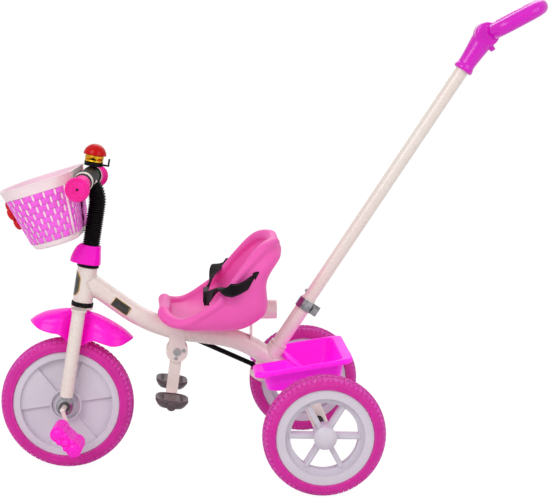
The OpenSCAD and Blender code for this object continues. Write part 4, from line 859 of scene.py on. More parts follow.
class Shop:
    def put(self, name: str, mesh: bpy.types.Mesh, node: str, slot: Slot | None = None,
            finish: Finish | None = None, stands: bool = False) -> bpy.types.Object:
        """Show a finished mesh as a piece.

        Args:
            name: Name of the piece.
            mesh: Mesh in place, in metres.
            node: CAD node whose body carries the piece.
            slot: Record slot that the piece takes its finish from.
            finish: Finish where it isn't the slot's own.
            stands: Whether the piece stands for that node.

        Returns:
            The piece.
        """
        piece = shown(name, mesh)
        mesh.name = name
        look = finish or (slot.value if slot else None)
        if look:
            mesh.materials.clear()
            mesh.materials.append(look.material())
        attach(piece, body_of(frame["nodes"][node])[0])
        if stands:
            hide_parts(node)
        return piece

    def soften(self, node: str, width: float, segments: int = 2, finish: Finish | None = None) -> None:
        """Show a rounded copy of a CAD node in its place, in its slot's finish or in another."""
        used = {row["node"]: row["material_slot"] for row in frame["record"]["subparts"]}[node]
        self.put(node + "_dressed", softened(node, width, segments), node, Slot[used], finish, True)

    def spread(self, name: str, piece: Shape, spots: list[Spot], node: str, slot: Slot,
               finish: Finish | None = None) -> None:
        """Show copies of a small piece at several spots, made by Geometry Nodes.

        Args:
            name: Name of the group.
            piece: Shape of one copy, Z pointing out of the surface.
            spots: Where the copies sit.
            node: CAD node whose body carries them.
            slot: Record slot of their finish.
            finish: Finish where it isn't the slot's own.
        """
        guide = bpy.data.meshes.new(name + "_guide")
        guide.from_pydata([tuple(s.place.translation * MM) for s in spots], [], [])
        told = {"turn": [tuple(s.place.to_euler()) for s in spots], "size": [s.size for s in spots]}
        for label, rows in told.items():
            layer = guide.attributes.new(label, "FLOAT_VECTOR", "POINT")
            layer.data.foreach_set("vector", np.array(rows, np.float32).ravel())
        copy = shown(name + "_copy", piece.mesh(name + "_copy"))
        made = place_tree().grown(guide, Piece=copy, Material=(finish or slot.value).material())
        bpy.data.objects.remove(copy)
        self.put(name, made, node, slot, finish)

    def bead(self, name: str, path: np.ndarray, radius: float, node: str) -> None:
        """Show a rippled weld bead along a closed path.

        Args:
            name: Name of the bead.
            path: Points of its line.
            radius: Radius of the bead.
            node: CAD node whose body carries it.
        """
        made = path_tree().grown(wire(name + "_line", path, True), Radius=radius * MM, Ripple=0.16,
                                 Rings=4 * len(path), Phase=TURN / 4, Sides=8, Material=WELD.material())
        self.put(name, made, node, Slot.frame_paint, WELD)

    def ring(self, name: str, piece: Shape, copies: int, place: Matrix, node: str, slot: Slot,
             finish: Finish | None = None, stands: bool = False) -> None:
        """Show copies of a piece round an axis, made by Geometry Nodes.

        Args:
            name: Name of the group.
            piece: Shape of one copy, about Z.
            copies: How many there are.
            place: Frame of the axis.
            node: CAD node whose body carries them.
            slot: Record slot of their finish.
            finish: Finish where it isn't the slot's own.
            stands: Whether they stand for that node.
        """
        made = ring_tree().grown(piece.mesh(name + "_copy"), Copies=copies, Step=TURN / copies,
                                 Material=(finish or slot.value).material())
        made.transform(in_metres(place))
        self.put(name, made, node, slot, finish, stands)


def bolt_head(r: float, h: float, socket: float = 0.5) -> Shape:
    """Round bolt head with a sunk six-sided socket, standing on Z 0.

    Args:
        r: Radius of the head.
        h: Height of the head.
        socket: Share of the radius that the socket takes.

    Returns:
        The head.
    """
    a = np.linspace(0, TURN, 24, endpoint=False)
    six = socket * r / np.cos(np.mod(a, math.pi / 3) - math.pi / 6)
    rings = [(0, 0, 0), (r, 0, 0), (r, 0.55 * h, 0), (0.93 * r, 0.86 * h, 0), (0.8 * r, h, 0),
             (1.1, h, 1), (1.0, 0.9 * h, 1), (1.0, 0.35 * h, 1), (0, 0.35 * h, 0)]
    rows = [np.stack([(six if hexed else 1) * s * np.cos(a), (six if hexed else 1) * s * np.sin(a),
                      np.full(24, z)], 1) for s, z, hexed in rings]
    return grid(np.array(rows), False, True)


@dataclass
class Assembly:
    """Sub-assembly whose pieces a shop shows."""

    shop: Shop

    def build(self) -> None:
        """Make the pieces; each sub-assembly has its own way."""
        raise NotImplementedError


@dataclass
class Tyre(Assembly):
    """Foam tyre: a rounded carcass with zig-zag lugs round its tread."""

    node: str
    place: Matrix
    radius: float
    seat_radius: float
    lugs: int
    width: float = 45.0
    crown: float = 32.0
    lug_depth: float = 2.8
    tread_half: float = 17.0
    sides: int = 144
    flanks: tuple[tuple[float, float], ...] = ((1.12, 3.2), (1.0, 0.45), (0.86, 0.1))
    shoulder: tuple[tuple[float, float], ...] = (
        (-0.44, 10.6), (0.0, 13.6), (0.44, 10.6), (0.44, 15.4), (0.0, 19.4), (-0.44, 15.4))
    middle: tuple[tuple[float, float], ...] = (
        (-0.42, 1.2), (0.0, 4.2), (0.42, 1.2), (0.42, 5.6), (0.0, 8.6), (-0.42, 5.6))

    def crown_at(self, h: float) -> float:
        """Radius of the tread at a distance from its middle."""
        return self.radius - self.crown + math.sqrt(self.crown**2 - h**2)

    def carcass(self) -> Shape:
        """Turned body of the tyre, lower than its lugs.

        Returns:
            The body about Z.
        """
        half, low, seat = self.width / 2, self.lug_depth, self.seat_radius
        tread = [(self.crown_at(h) - low, h) for h in np.linspace(-self.tread_half, self.tread_half, 15)]
        edge = tread[-1][0]
        side = [(edge - 1.4, 19.6), (edge - 4.0, 21.6), (edge - 8.0, half), (seat + 7.0, half),
                (seat + 5.6, half - 0.5), (seat + 4.6, half), (seat + 2.0, half - 0.2),
                (seat + 0.5, half - 1.2)]
        return lathe(tread + side + [(r, -h) for r, h in reversed(side)], self.sides, True)

    def lug(self, line: tuple[tuple[float, float], ...], side: int) -> Shape:
        """One lug with sloped flanks.

        Args:
            line: Corners, as a share of the pitch and a distance from the middle.
            side: Side of the tyre.

        Returns:
            The lug, open below.
        """
        pitch = TURN / self.lugs
        mid = np.mean(line, 0)
        rings = []
        for grow, sink in self.flanks:
            ring = []
            for s, h in mid + (np.array(line) - mid) * grow:
                r = self.crown_at(abs(h)) - sink
                ring.append((r * math.cos(s * pitch), r * math.sin(s * pitch), side * h))
            rings.append(ring)
        shape = grid(np.array(rings), False, True)
        count = len(line)
        shape.faces.append(tuple(range(2 * count, 3 * count)))
        return shape

    def build(self) -> None:
        """Make the carcass and the tread."""
        carcass = self.carcass().moved(self.place).mesh(self.node)
        self.shop.put(self.node + "_carcass", carcass, self.node, Slot.tyre_foam, stands=True)
        parts = [self.lug(line, side) for line in (self.shoulder, self.middle) for side in (-1, 1)]
        # The lugs take the lighter foam, a painted highlight.
        self.shop.ring(self.node + "_tread", parts[0].joined(*parts[1:]), self.lugs, self.place, self.node,
                       Slot.tyre_foam, HIGHLIGHT_TREAD)


@dataclass
class Wheels(Assembly):
    """Front wheel with its crank and pedals, and the two rear wheels."""

    rim_round: float = 1.6
    spoke_round: float = 1.4
    screw_r: float = 3.4
    screw_ring: float = 60.0
    screw_angles: tuple[float, ...] = (65.0, 98.0)
    screw_face: float = 7.0
    front_seat_r: float = 101.0
    front_lugs: int = 76
    rear_seat_r: float = 88.0
    rear_lugs: int = 68
    crank_r: float = 46.0
    crank_down: float = 63.0
    pedal_from: float = 70.4
    pedal_tilt: float = -35.0
    pedal_len: float = 56.0
    lobe_r: float = 14.0
    lobe_gap: float = 40.0
    stud_rows: int = 6
    stud_angles: tuple[float, ...] = (-120, -90, -60, -30, 0, 30, 60, 90, 120)
    lump_gap: tuple[float, float] = (8.5, 7.5)

    def build(self) -> None:
        """Make all three wheels, the crank and the pedals."""
        front = LAYOUT.steered @ turned("X", 90)
        Tyre(self.shop, "front_tyre", front, LAYOUT.front_wheel_r, self.front_seat_r, self.front_lugs).build()
        for side, name in SIDES:
            Tyre(self.shop, "rear_tyre_" + name, LAYOUT.rear(side), LAYOUT.rear_wheel_r, self.rear_seat_r,
                 self.rear_lugs).build()
            self.shop.soften("rear_rim_" + name, self.spoke_round, 3)
            self.shop.soften("rear_bush_" + name, 0.5)
            self.shop.soften("hub_cap_" + name, 1.2, 3)
            self.shop.soften("pedal_" + name, 2.4, 3)
            self.pedal_studs(side, name)
        self.shop.soften("front_rim", self.rim_round, 3)
        self.shop.soften("crank_axle", 0.6)
        self.shop.soften("pedal_caps", 0.5, finish=Slot.guard_plastic.value)
        self.rim_screws(front)

    def rim_screws(self, front: Matrix) -> None:
        """Set the small screws that hold the front rim's halves together."""
        reach = shifted(self.screw_ring, 0, self.screw_face)
        spots = [Spot(front @ turned("Z", a) @ reach @ turned("Z", -a)) for a in self.screw_angles]
        self.shop.spread("front_rim_screws", bolt_head(self.screw_r, 1.6), spots, "front_rim", Slot.zinc,
                         DARK_SCREW)

    def pedal_frame(self, side: int) -> Matrix:
        """Frame of a pedal's inner end, Z pointing away from the trike."""
        down, spin = math.radians(self.crank_down), self.pedal_tilt if side < 0 else -180 - self.pedal_tilt
        spot = shifted(-side * self.crank_r * math.cos(down), side * self.pedal_from,
                       side * self.crank_r * math.sin(down))
        return LAYOUT.steered @ spot @ turned("X", -side * 90) @ turned("Z", spin)

    def pedal_studs(self, side: int, name: str) -> None:
        """Set rows of grip studs round a pedal's lobes, and lumps on its end.

        Args:
            side: Side of the trike.
            name: Name of the side.
        """
        out, pitch = self.pedal_frame(side), self.pedal_len / self.stud_rows
        reach = shifted(self.lobe_r - 0.6, 0, 0) @ turned("Y", 90)
        spots = []
        for end in (-1, 1):
            for angle in self.stud_angles:
                for row in range(self.stud_rows):
                    lobe = out @ shifted(end * self.lobe_gap / 2, 0, (row + 0.5) * pitch)
                    spots.append(Spot(lobe @ turned("Z", angle + 90 * (1 - end)) @ reach))
        stud = lathe([(0, -0.6), (2.6, -0.6), (2.4, 0.6), (1.7, 1.2), (0, 1.35)], 8)
        self.shop.spread(f"pedal_{name}_studs", stud, spots, "pedal_" + name, Slot.guard_plastic)
        face, (x, y) = out @ shifted(0, 0, self.pedal_len), self.lump_gap
        lumps = [Spot(face @ shifted(end * self.lobe_gap / 2, 0, 0)) for end in (-1, 1)]
        corners = ((-x, -y), (x, -y), (-x, y), (x, y))
        lumps += [Spot(face @ shifted(*at, 0), (0.62, 0.62, 0.8)) for at in corners]
        lumps.append(Spot(face, (0.7, 0.7, 1.6)))
        lump = lathe([(0, -0.5), (10.4, -0.5), (10.0, 1.2), (8.0, 3.0), (4.4, 4.1), (0, 4.5)], 24)
        self.shop.spread(f"pedal_{name}_lumps", lump, lumps, "pedal_" + name, Slot.guard_plastic)


@dataclass
class Tubes(Assembly):
    """Painted frame with its welds, plates and small metal."""

    main_start: tuple[float, float] = (39.8, 364.7)
    head_slope: float = 37.0
    main_r: float = 18.5
    head_r: float = 18.75
    tail_slope: float = 39.3
    socket_at: tuple[float, float] = (386.7, 205.6)
    socket_r: float = 17.0
    bead_r: float = 1.7
    badge_z: float = 232.0
    label_at: float = 82.5
    widths: tuple[tuple[str, float], ...] = (
        ("head_tube", 0.8), ("headset_cups", 1.0), ("main_tube", 0.0), ("push_socket", 0.8),
        ("rear_hoop", 0.8), ("rear_axle", 0.6), ("axle_spacers", 0.5), ("seat_rail", 0.5),
        ("seat_bolts", 0.6), ("footrest_bracket", 1.2), ("footrest_bolts", 0.7), ("bin_bolts", 1.4),
        ("fork_crown", 1.0), ("fork_legs", 1.2), ("dropouts", 1.4),
        ("steerer_stem", 0.3), ("steering_pin", 0.6), ("link_rod", 0.5))

    def build(self) -> None:
        """Make the tubes, their welds and the plates."""
        for node, width in self.widths:
            self.shop.soften(node, width)
        self.shop.soften("fork_bushes", 0.5, finish=DARK_SCREW)
        self.welds()
        self.plates()

    def welds(self) -> None:
        """Run weld beads where the main tube meets the head tube and the push socket."""
        a = np.linspace(0, TURN, 48, endpoint=False)
        y, across = self.main_r * np.sin(a), self.main_r * np.cos(a)
        along, lift = leaning(self.head_slope)
        out = leaning(LAYOUT.rake)[0]
        t = (np.sqrt(self.head_r**2 - y**2) - across * (lift @ out)) / (along @ out)
        flat = np.array(self.main_start) + t[:, None] * along + across[:, None] * lift
        path = np.stack([flat[:, 0] - LAYOUT.origin_x, y, flat[:, 1]], 1)
        self.shop.bead("head_weld", path, self.bead_r, "main_tube")
        wide, axis = leaning(LAYOUT.push_lean)
        square = leaning(self.tail_slope)[1]
        y, across = self.socket_r * np.sin(a), self.socket_r * np.cos(a)
        for name, way in (("upper", 1), ("lower", -1)):
            t = (way * np.sqrt(self.main_r**2 - y**2) - across * (wide @ square)) / (axis @ square)
            flat = np.array(self.socket_at) + t[:, None] * axis + across[:, None] * wide
            path = np.stack([flat[:, 0] - LAYOUT.origin_x, y, flat[:, 1]], 1)
            self.shop.bead(f"socket_weld_{name}", path, self.bead_r, "push_socket")

    def plate(self, r: float, line: np.ndarray, border: float) -> Shape:
        """Thin bent plate with a raised border.

        Args:
            r: Radius that the plate is bent to.
            line: Outline, along the tube and round it.
            border: Width of the border.

        Returns:
            The plate about X, facing -Y, its border marked 1.
        """
        loop = np.vstack([line, line[:1]])
        run = run_along(loop)
        line = sampled(loop, run, np.linspace(0, run[-1], 120, endpoint=False))
        mid = line.mean(0)
        inner = line + unit(mid - line) * border
        rings = [(line, 0.15), (line, 1.05), (inner, 1.15), (inner, 0.8)]
        rings += [(mid + (inner - mid) * share, 0.8) for share in (0.75, 0.5, 0.25, 0.0)]
        rows = []
        for ring, rise in rings:
            b = ring[:, 1] / r
            rows.append(np.stack([ring[:, 0], -(r + rise) * np.cos(b), (r + rise) * np.sin(b)], 1))
        shape = grid(np.array(rows), False, True)
        count = len(line)
        shape.marks = [1] * (3 * count) + [0] * (len(shape.faces) - 3 * count)
        return shape

    def plates(self) -> None:
        """Make the plain plate on the head tube and the one on the main tube."""
        start = LAYOUT.placed @ shifted(self.main_start[0], 0, self.main_start[1])
        head = LAYOUT.head @ shifted(0, 0, self.badge_z) @ turned("Z", -90) @ turned("Y", -90)
        tube = start @ turned("Y", self.head_slope) @ shifted(self.label_at, 0, 0)
        parts = [self.plate(self.head_r, boxed(23, 20, 14, 8), 1.6).moved(head),
                 self.plate(self.main_r, boxed(18.5, 9, 2, 5), 1.2).moved(tube)]
        both = parts[0].joined(parts[1])
        both.marks = parts[0].marks + parts[1].marks
        mesh = both.mesh("label_plates", False)
        for finish in (PLATE_BLACK, Slot.plate_gold.value):
            mesh.materials.append(finish.material())
        piece = self.shop.put("plain_plates", mesh, "label_plates", stands=True)


@dataclass
class Bars(Assembly):
    """Handlebar with its bellows, fairing, sleeve, straps and grips."""

    arm_len: float = 94.5
    grip_len: float = 58.0
    grip_r: float = 15.5
    disc_r: float = 22.5
    disc_t: float = 7.0
    bellows_low: float = 308.55
    stem_rise: float = 77.0
    bend_r: float = 53.0
    bend: float = 40.0
    bellows_r: float = 16.5
    groove: float = 2.4
    ribs: int = 28
    fairing_low: float = 272.4
    fairing_h: float = 36.0
    fairing_r: float = 23.0
    visor_reach: float = 12.0
    visor_share: float = 0.97
    top_share: float = 0.84
    wall: float = 2.5

    def build(self) -> None:
        """Make every piece of the handlebar."""
        for node, width in (("handlebar", 0.4), ("bar_sleeve", 0.8), ("strap_rings", 0.7)):
            self.shop.soften(node, width)
        self.bellows()
        self.fairing()
        self.grips()

    def bellows(self) -> None:
        """Grow the ribbed bellows along the bent stem."""
        turn = math.radians(self.bend)
        arc = self.bend_r * turn
        end = self.stem_rise + arc + 1.6
        path = []
        for s in np.linspace(0, end, 120):
            over = s - self.stem_rise
            a = min(max(over, 0) / arc, 1) * turn
            rest = max(over - arc, 0)
            low = self.bellows_low + min(s, self.stem_rise)
            path.append((-self.bend_r * (1 - math.cos(a)) - rest * math.sin(turn), 0,
                         low + self.bend_r * math.sin(a) + rest * math.cos(turn)))
        guide = wire("bellows_line", Shape(np.array(path), []).moved(LAYOUT.steered).points)
        mean = self.bellows_r - self.groove / 2
        made = path_tree().grown(guide, Radius=mean * MM, Ripple=self.groove / 2 / mean,
                                 Rings=self.ribs * 8 + 1, Phase=TURN / 8, Sides=40,
                                 Material=Slot.bellows_rubber.value.material())
        self.shop.put("bellows_ribbed", made, "bellows", Slot.bellows_rubber, stands=True)

    def fairing_ring(self, h: float, inset: float) -> np.ndarray:
        """Ring of the fairing.

        Args:
            h: Share of its height.
            inset: Distance inside its outer face.

        Returns:
            Points of the ring.
        """
        flat = circle(96)
        body = self.fairing_r * (1 + (self.top_share - 1) * eased(h)) - inset
        reach = self.visor_reach * math.sqrt(max(0, 1 - (h / self.visor_share) ** 2))
        r = body + reach * np.maximum(0, -flat[:, 0]) ** 2
        return np.column_stack([r[:, None] * flat, np.full(len(r), self.fairing_low + h * self.fairing_h)])

    def fairing(self) -> None:
        """Make the fairing with its visor."""
        levels = np.linspace(0, 1, 25)
        rows = [self.fairing_ring(h, 0) for h in levels]
        rows += [self.fairing_ring(h, self.wall) for h in levels[::-1]]
        mesh = bevelled(grid(np.array(rows), True, True).moved(LAYOUT.steered).mesh("fairing"), 1.0, 3, 50)
        self.shop.put("fairing_visor", mesh, "fairing", Slot.seat_plastic, Slot.guard_plastic.value, True)

    def grips(self) -> None:
        """Turn both grips, with rings on their shanks and on their end discs."""
        r, wide, top = self.grip_r, self.disc_r, self.grip_len
        shank = [(r - 2.0, 0.2), (r - 0.4, 0.4), (r, 1.2)]
        for k in range(8):
            z = 5 + k * 5.2
            shank += [(r, z), (r - 0.9, z + 0.7), (r - 0.9, z + 1.7), (r, z + 2.4)]
        low = top - self.disc_t
        disc = [(r, low - 2), (r + 1.4, low), (wide - 1.6, low + 2.2), (wide, low + 4), (wide, top - 1.5),
                (wide - 0.6, top - 0.5), (wide - 1.8, top), (17.5, top), (17.0, top - 0.7),
                (16.2, top - 0.7), (15.7, top), (9.5, top), (9.0, top - 0.6), (8.2, top - 0.6), (7.7, top),
                (3.4, top), (2.6, top - 0.4), (2.4, top - 2.8), (0, top - 2.8)]
        shape = lathe([(11.2, 0.2)] + shank + disc, 64).moved(shifted(0, 0, self.arm_len - self.grip_len))
        both = shape.moved(LAYOUT.arm(-1)).joined(shape.moved(LAYOUT.arm(1)))
        self.shop.put("ringed_grips", bevelled(both.mesh("grips"), 0.2, 1, 40), "grips", Slot.grip_rubber,
                      stands=True)
        dot = lathe([(0, 0), (2.3, 0), (2.3, 0.5), (1.6, 0.9), (0, 0.9)], 20)
        spots = [Spot(LAYOUT.arm(side) @ shifted(0, 0, self.arm_len - 2.8)) for side in (-1, 1)]
        self.shop.spread("grip_plugs", dot, spots, "grips", Slot.black_plastic)


@dataclass
class Mudguard(Assembly):
    """Leaf-shaped mudguard with a flared lower edge, drawn in between the fork's legs."""

    wall: float = 1.6
    fine: int = 5
    across: int = 18
    crease: tuple[float, float, float] = (0.62, 0.56, 0.86)
    boss: tuple[float, float, float] = (9.0, 180.5, 186.0)
    rows: tuple[tuple[float, float, float, float, float], ...] = (
        (-91.5, 147.5, -91, 146, 5), (-83, 156, -80, 143, 26), (-68, 166, -66, 139, 38),
        (-50, 173, -47, 137, 42), (-34, 178, -32, 136, 40), (-21, 181, -21, 128, 31),
        (-13, 182.5, -13, 120, 25), (0, 183, 0, 118, 24.8), (13, 181.5, 14, 119, 25), (22, 180, 22, 126, 31),
        (36, 177, 34, 134, 38), (55, 170.5, 54, 132, 42), (72, 163.5, 72, 130, 41), (88, 155.5, 87, 133, 33),
        (99, 148.5, 97, 139, 20), (104.5, 145, 104, 143.5, 5))

    def section(self, row: np.ndarray) -> np.ndarray:
        """Points across the guard at a row: crown x and z, edge x and z, half width."""
        v = np.linspace(-1, 1, 2 * self.across + 1)
        bend, fall, wide = self.crease
        arc = np.clip(np.abs(v) / bend, 0, 1) * math.pi / 2
        skirt = np.clip((np.abs(v) - bend) / (1 - bend), 0, 1)
        y = np.sign(v) * row[4] * (wide * np.sin(arc) + (1 - wide) * skirt)
        down = fall * (1 - np.cos(arc)) + (1 - fall) * skirt
        return np.stack([row[0] + (row[2] - row[0]) * down, y, row[1] + (row[3] - row[1]) * down], 1)

    def build(self) -> None:
        """Make the guard and the boss that it hangs from."""
        rows, last = np.array(self.rows), len(self.rows) - 1
        steps = np.linspace(0, last, last * self.fine + 1)
        sheet = grid(np.array([self.section(through(rows, s)) for s in steps]))
        mesh = settled(sheet.moved(LAYOUT.steered).mesh("mudguard", False),
                       ("SOLIDIFY", {"thickness": self.wall * MM, "offset": 0.0}))
        mesh.shade_smooth()
        self.shop.put("mudguard_leaf", mesh, "mudguard", Slot.guard_plastic, stands=True)
        r, low, high = self.boss
        post = lathe([(0, low), (r, low), (r, high - 0.5), (r - 0.5, high), (0, high)], 32)
        mesh = post.moved(LAYOUT.steered).mesh("boss")
        self.shop.put("mudguard_boss", mesh, "mudguard", Slot.guard_plastic)


@dataclass
class Bell(Assembly):
    """Bell with a painted dome over a brass ring."""

    y: float = 53.0
    low: float = 18.8
    drop: float = 1.37
    base_h: float = 8.0
    ring_h: float = 13.0
    ring_r: float = 17.7
    dome_r: float = 22.0
    dome_h: float = 21.0
    wall: float = 1.5

    def build(self) -> None:
        """Make the base, the ring, the dome and the lever."""
        for node, width in (("bell_base", 0.9), ("bell_lever", 0.8)):
            self.shop.soften(node, width)
        place = LAYOUT.bar @ shifted(0, self.y, self.low - self.drop)
        z, r, top = self.base_h, self.ring_r, self.base_h + self.ring_h
        ring = [(r - self.wall, z), (r - 0.3, z), (r, z + 0.4), (r, z + 2.6), (r - 0.7, z + 2.9),
                (r - 0.7, z + 3.6), (r, z + 3.9), (r, top - 0.8), (r - 0.4, top), (r - self.wall, top)]
        mesh = lathe(ring, 72, True).moved(place).mesh("bell_ring")
        self.shop.put("bell_brass_ring", mesh, "bell_ring", Slot.bell_brass, stands=True)
        self.dome(place @ shifted(0, 0, top + 0.15))

    def dome(self, place: Matrix) -> None:
        """Turn the dome with its rolled lip.

        Args:
            place: Frame of the dome's foot.
        """
        ball = (self.dome_r**2 + self.dome_h**2) / (2 * self.dome_h)
        end = math.asin(min(1, (self.dome_r - 0.5) / ball))
        r, mid, inner = self.dome_r, self.dome_h - ball, ball - self.wall
        over = [(ball * math.sin(a), mid + ball * math.cos(a)) for a in np.linspace(0, end, 18)]
        lip = [(r, 1.1), (r - 0.1, 0.3), (r - 0.9, 0.0), (r - 1.6, 0.6)]
        under = [(inner * math.sin(a), mid + inner * math.cos(a)) for a in np.linspace(end - 0.08, 0, 12)]
        mesh = lathe(over + lip + under, 72).moved(place).mesh("bell_dome")
        self.shop.put("bell_red_dome", mesh, "bell_dome", Slot.bell_paint, stands=True)


@dataclass
class Basket(Assembly):
    """Woven front basket with a pale rim and base, and a flower on its front."""

    top: tuple[float, float] = (122.0, 214.0)
    low: tuple[float, float] = (72.0, 172.0)
    bow: float = 22.0
    height: float = 122.0
    tilt: float = 26.5
    back: float = 49.0
    over: float = 15.0
    corner: float = 34.0
    wall: float = 3.0
    band: float = 20.0
    base: float = 11.0
    lip: float = 2.5
    rows: int = 8
    slat_pitch: float = 9.6
    slat_w: float = 3.4
    swing: float = 1.0
    woven_from: int = 12
    strip_share: float = 0.14
    gauge_depth: float = 60.0
    band_half: float = 0.55
    flower_at: float = 0.43
    flower_lift: float = 4.0
    petals: int = 5
    petal_at: float = 19.0

    @property
    def place(self) -> Matrix:
        """Frame of the middle of the rim."""
        tilt = turned("Y", -self.tilt)
        return (LAYOUT.steered @ shifted(-self.back, 0, LAYOUT.bar_z + self.over) @ tilt
                @ shifted(-self.top[0] / 2, 0, 0))

    def half_line(self, depth: float, inset: float, fine: int = 40) -> np.ndarray:
        """Outline at a depth, from the middle of the rear round the right to the middle of the front.

        Args:
            depth: Distance below the rim.
            inset: Distance inside the outer face.
            fine: Points on each straight and turn.

        Returns:
            Points of half of the outline.
        """
        f = depth / self.height
        l, w = (a + (b - a) * f for a, b in zip(self.top, self.low))
        l, w, r = l - 2 * inset, w - 2 * inset, self.corner - inset
        turn = np.linspace(0, math.pi / 2, fine)
        xy = [np.stack([np.full(fine, l / 2), np.linspace(0, w / 2 - r, fine, endpoint=False)], 1),
              np.stack([l / 2 - r + r * np.cos(turn), w / 2 - r + r * np.sin(turn)], 1)[:-1],
              np.stack([np.linspace(l / 2 - r, r - l / 2, fine, endpoint=False), np.full(fine, w / 2)], 1),
              np.stack([r - l / 2 - r * np.sin(turn), w / 2 - r + r * np.cos(turn)], 1)[:-1],
              np.stack([np.full(fine, -l / 2), np.linspace(w / 2 - r, 0, fine)], 1)]
        line = np.concatenate(xy)
        bowed = np.where(line[:, 0] < 0, self.bow * np.cos(math.pi * line[:, 1] / w), 0)
        line[:, 0] -= bowed * eased(np.clip(-line[:, 0] / (l / 2), 0, 1))
        return line

    def ring(self, depth: float, inset: float) -> np.ndarray:
        """Whole outline at a depth."""
        half = self.half_line(depth, inset)[1:-1]
        line = np.concatenate([half, half[::-1] * (1, -1)])
        return np.column_stack([line, np.full(len(line), -depth)])

    def rings(self, profile: list[tuple[float, float]], closed: bool = False) -> Shape:
        """Wall through the outlines at several depths and insets."""
        return grid(np.array([self.ring(depth, inset) for depth, inset in profile]), closed, True)

    def panel(self, depth: float, shares: np.ndarray, out: np.ndarray | float) -> np.ndarray:
        """Points of the woven wall at a depth.

        Args:
            depth: Distance below the rim.
            shares: Place along the wall, from the left rear corner over the front to the right one.
            out: Distance outside the wall.

        Returns:
            The points.
        """
        ring = self.ring(depth, 0)
        half = self.half_line(depth, 0)[self.woven_from:]
        line = np.concatenate([half * (1, -1), half[::-1][1:]])
        run = run_along(line)
        flat = sampled(line, run, shares * run[-1])
        along = unit(np.gradient(flat, axis=0))
        outward = np.stack([along[:, 1], -along[:, 0]], 1)
        outward *= np.sign(np.sum(outward * (flat - ring[:, :2].mean(0)), 1, keepdims=True))
        flat = flat + outward * np.reshape(out, (-1, 1))
        return np.column_stack([flat, np.full(len(flat), -depth)])

    def build(self) -> None:
        """Make the rim and base, the weave and the flower."""
        self.border()
        self.weave()
        self.flower()

    def border(self) -> None:
        """Make the pale rim band, the rear wall, the floor and the bottom band."""
        low, deep, band, lip, wall = self.height, self.height - self.base, self.band, self.lip, self.wall
        rim = [(band, 0.2), (band, 0.6 - lip), (band - 0.8, -lip), (3, -lip), (1.2, -lip - 1.0),
               (0.2, -lip - 0.6), (0, 0.6 - lip), (0, wall - 0.8), (0.8, wall), (band, wall)]
        foot = [(deep, 0.4), (deep + 0.8, -0.6), (low - 4, -0.4), (low - 1.2, 0.6), (low, 3), (low, 14)]
        inner = [(low - wall, 14), (low - wall, 5), (low - 5, wall), (deep, wall)]
        under, top = self.rings(foot), self.rings(inner)
        count = len(self.ring(0, 0))
        under.faces.append(tuple((len(foot) - 1) * count + j for j in range(count)))
        top.faces.append(tuple(range(count)))
        whole = self.rings(rim, True).joined(under.joined(top, self.rings([inner[-1], foot[0]])))
        mesh = bevelled(whole.moved(self.place).mesh("rim"), 0.4, 2, 40)
        self.shop.put("basket_rim_and_base", mesh, "front_basket", Slot.basket_plastic, stands=True)
        liner = self.rings([(band - 1, 1.6), (deep + 2, 1.6), (deep + 2, 2.8), (band - 1, 2.8)], True)
        mesh = liner.moved(self.place).mesh("liner")
        self.shop.put("basket_liner", mesh, "front_basket", Slot.basket_plastic, WEAVE_PINK)
        spots = [self.slat_spot(share, 1.0) for share in (self.strip_share, 1 - self.strip_share)]
        corner = straight(boxed(4.5, 1.5, 1.35, 3), -0.5, 0.5, (0, 1, 0))
        self.shop.spread("basket_corner_strips", corner, spots, "front_basket", Slot.basket_plastic)

    def slat_spot(self, share: float, out: float) -> Spot:
        """Spot of a slat that runs down the wall.

        Args:
            share: Place along the wall.
            out: Distance outside the wall.

        Returns:
            The spot at the middle of the slat, Z along it and X out of the wall.
        """
        near = np.array([max(share - 0.004, 0), share, min(share + 0.004, 1)])
        a = self.panel(self.band - 1, near, out)
        b = self.panel(self.height - self.base + 1, near, out)
        down = unit(a[1] - b[1])
        outward = unit(np.cross(unit(a[2] - a[0]), down))
        middle = framed(outward, down, (a[1] + b[1]) / 2)
        return Spot(self.place @ middle, (1.0, 1.0, float(np.linalg.norm(a[1] - b[1]))))

    def weave(self) -> None:
        """Weave the pink bands over and under the pale slats."""
        run = run_along(self.panel(self.gauge_depth, np.linspace(0, 1, 200), 0.0))[-1]
        count = int(run / self.slat_pitch / 2) * 2
        shares = np.linspace(0.0, 1.0, count * 6 + 1)
        pitch = (self.height - self.base - self.band) / self.rows
        bands = []
        for row in range(self.rows):
            wave = self.swing * np.cos(math.pi * (shares * count + row))
            depth = self.band + (row + 0.5) * pitch
            path = self.panel(depth, shares, 0.6 + wave)
            up = unit(self.panel(depth - 2, shares, 0.0) - self.panel(depth + 2, shares, 0.0))
            bands.append(sweep(path, boxed(self.band_half, pitch / 2 - 0.05, 0.5, 2), up))
        mesh = bands[0].joined(*bands[1:]).moved(self.place).mesh("bands")
        self.shop.put("basket_woven_bands", mesh, "front_basket", Slot.basket_plastic, WEAVE_PINK)
        slat = straight(boxed(0.5, 0.5, 0.45, 2) * (self.slat_w, 1.0), -0.5, 0.5, (1, 0, 0), 3)
        spots = [self.slat_spot(k / count, 0.75) for k in range(1, count)]
        self.shop.spread("basket_slats", slat, spots, "front_basket", Slot.basket_plastic)

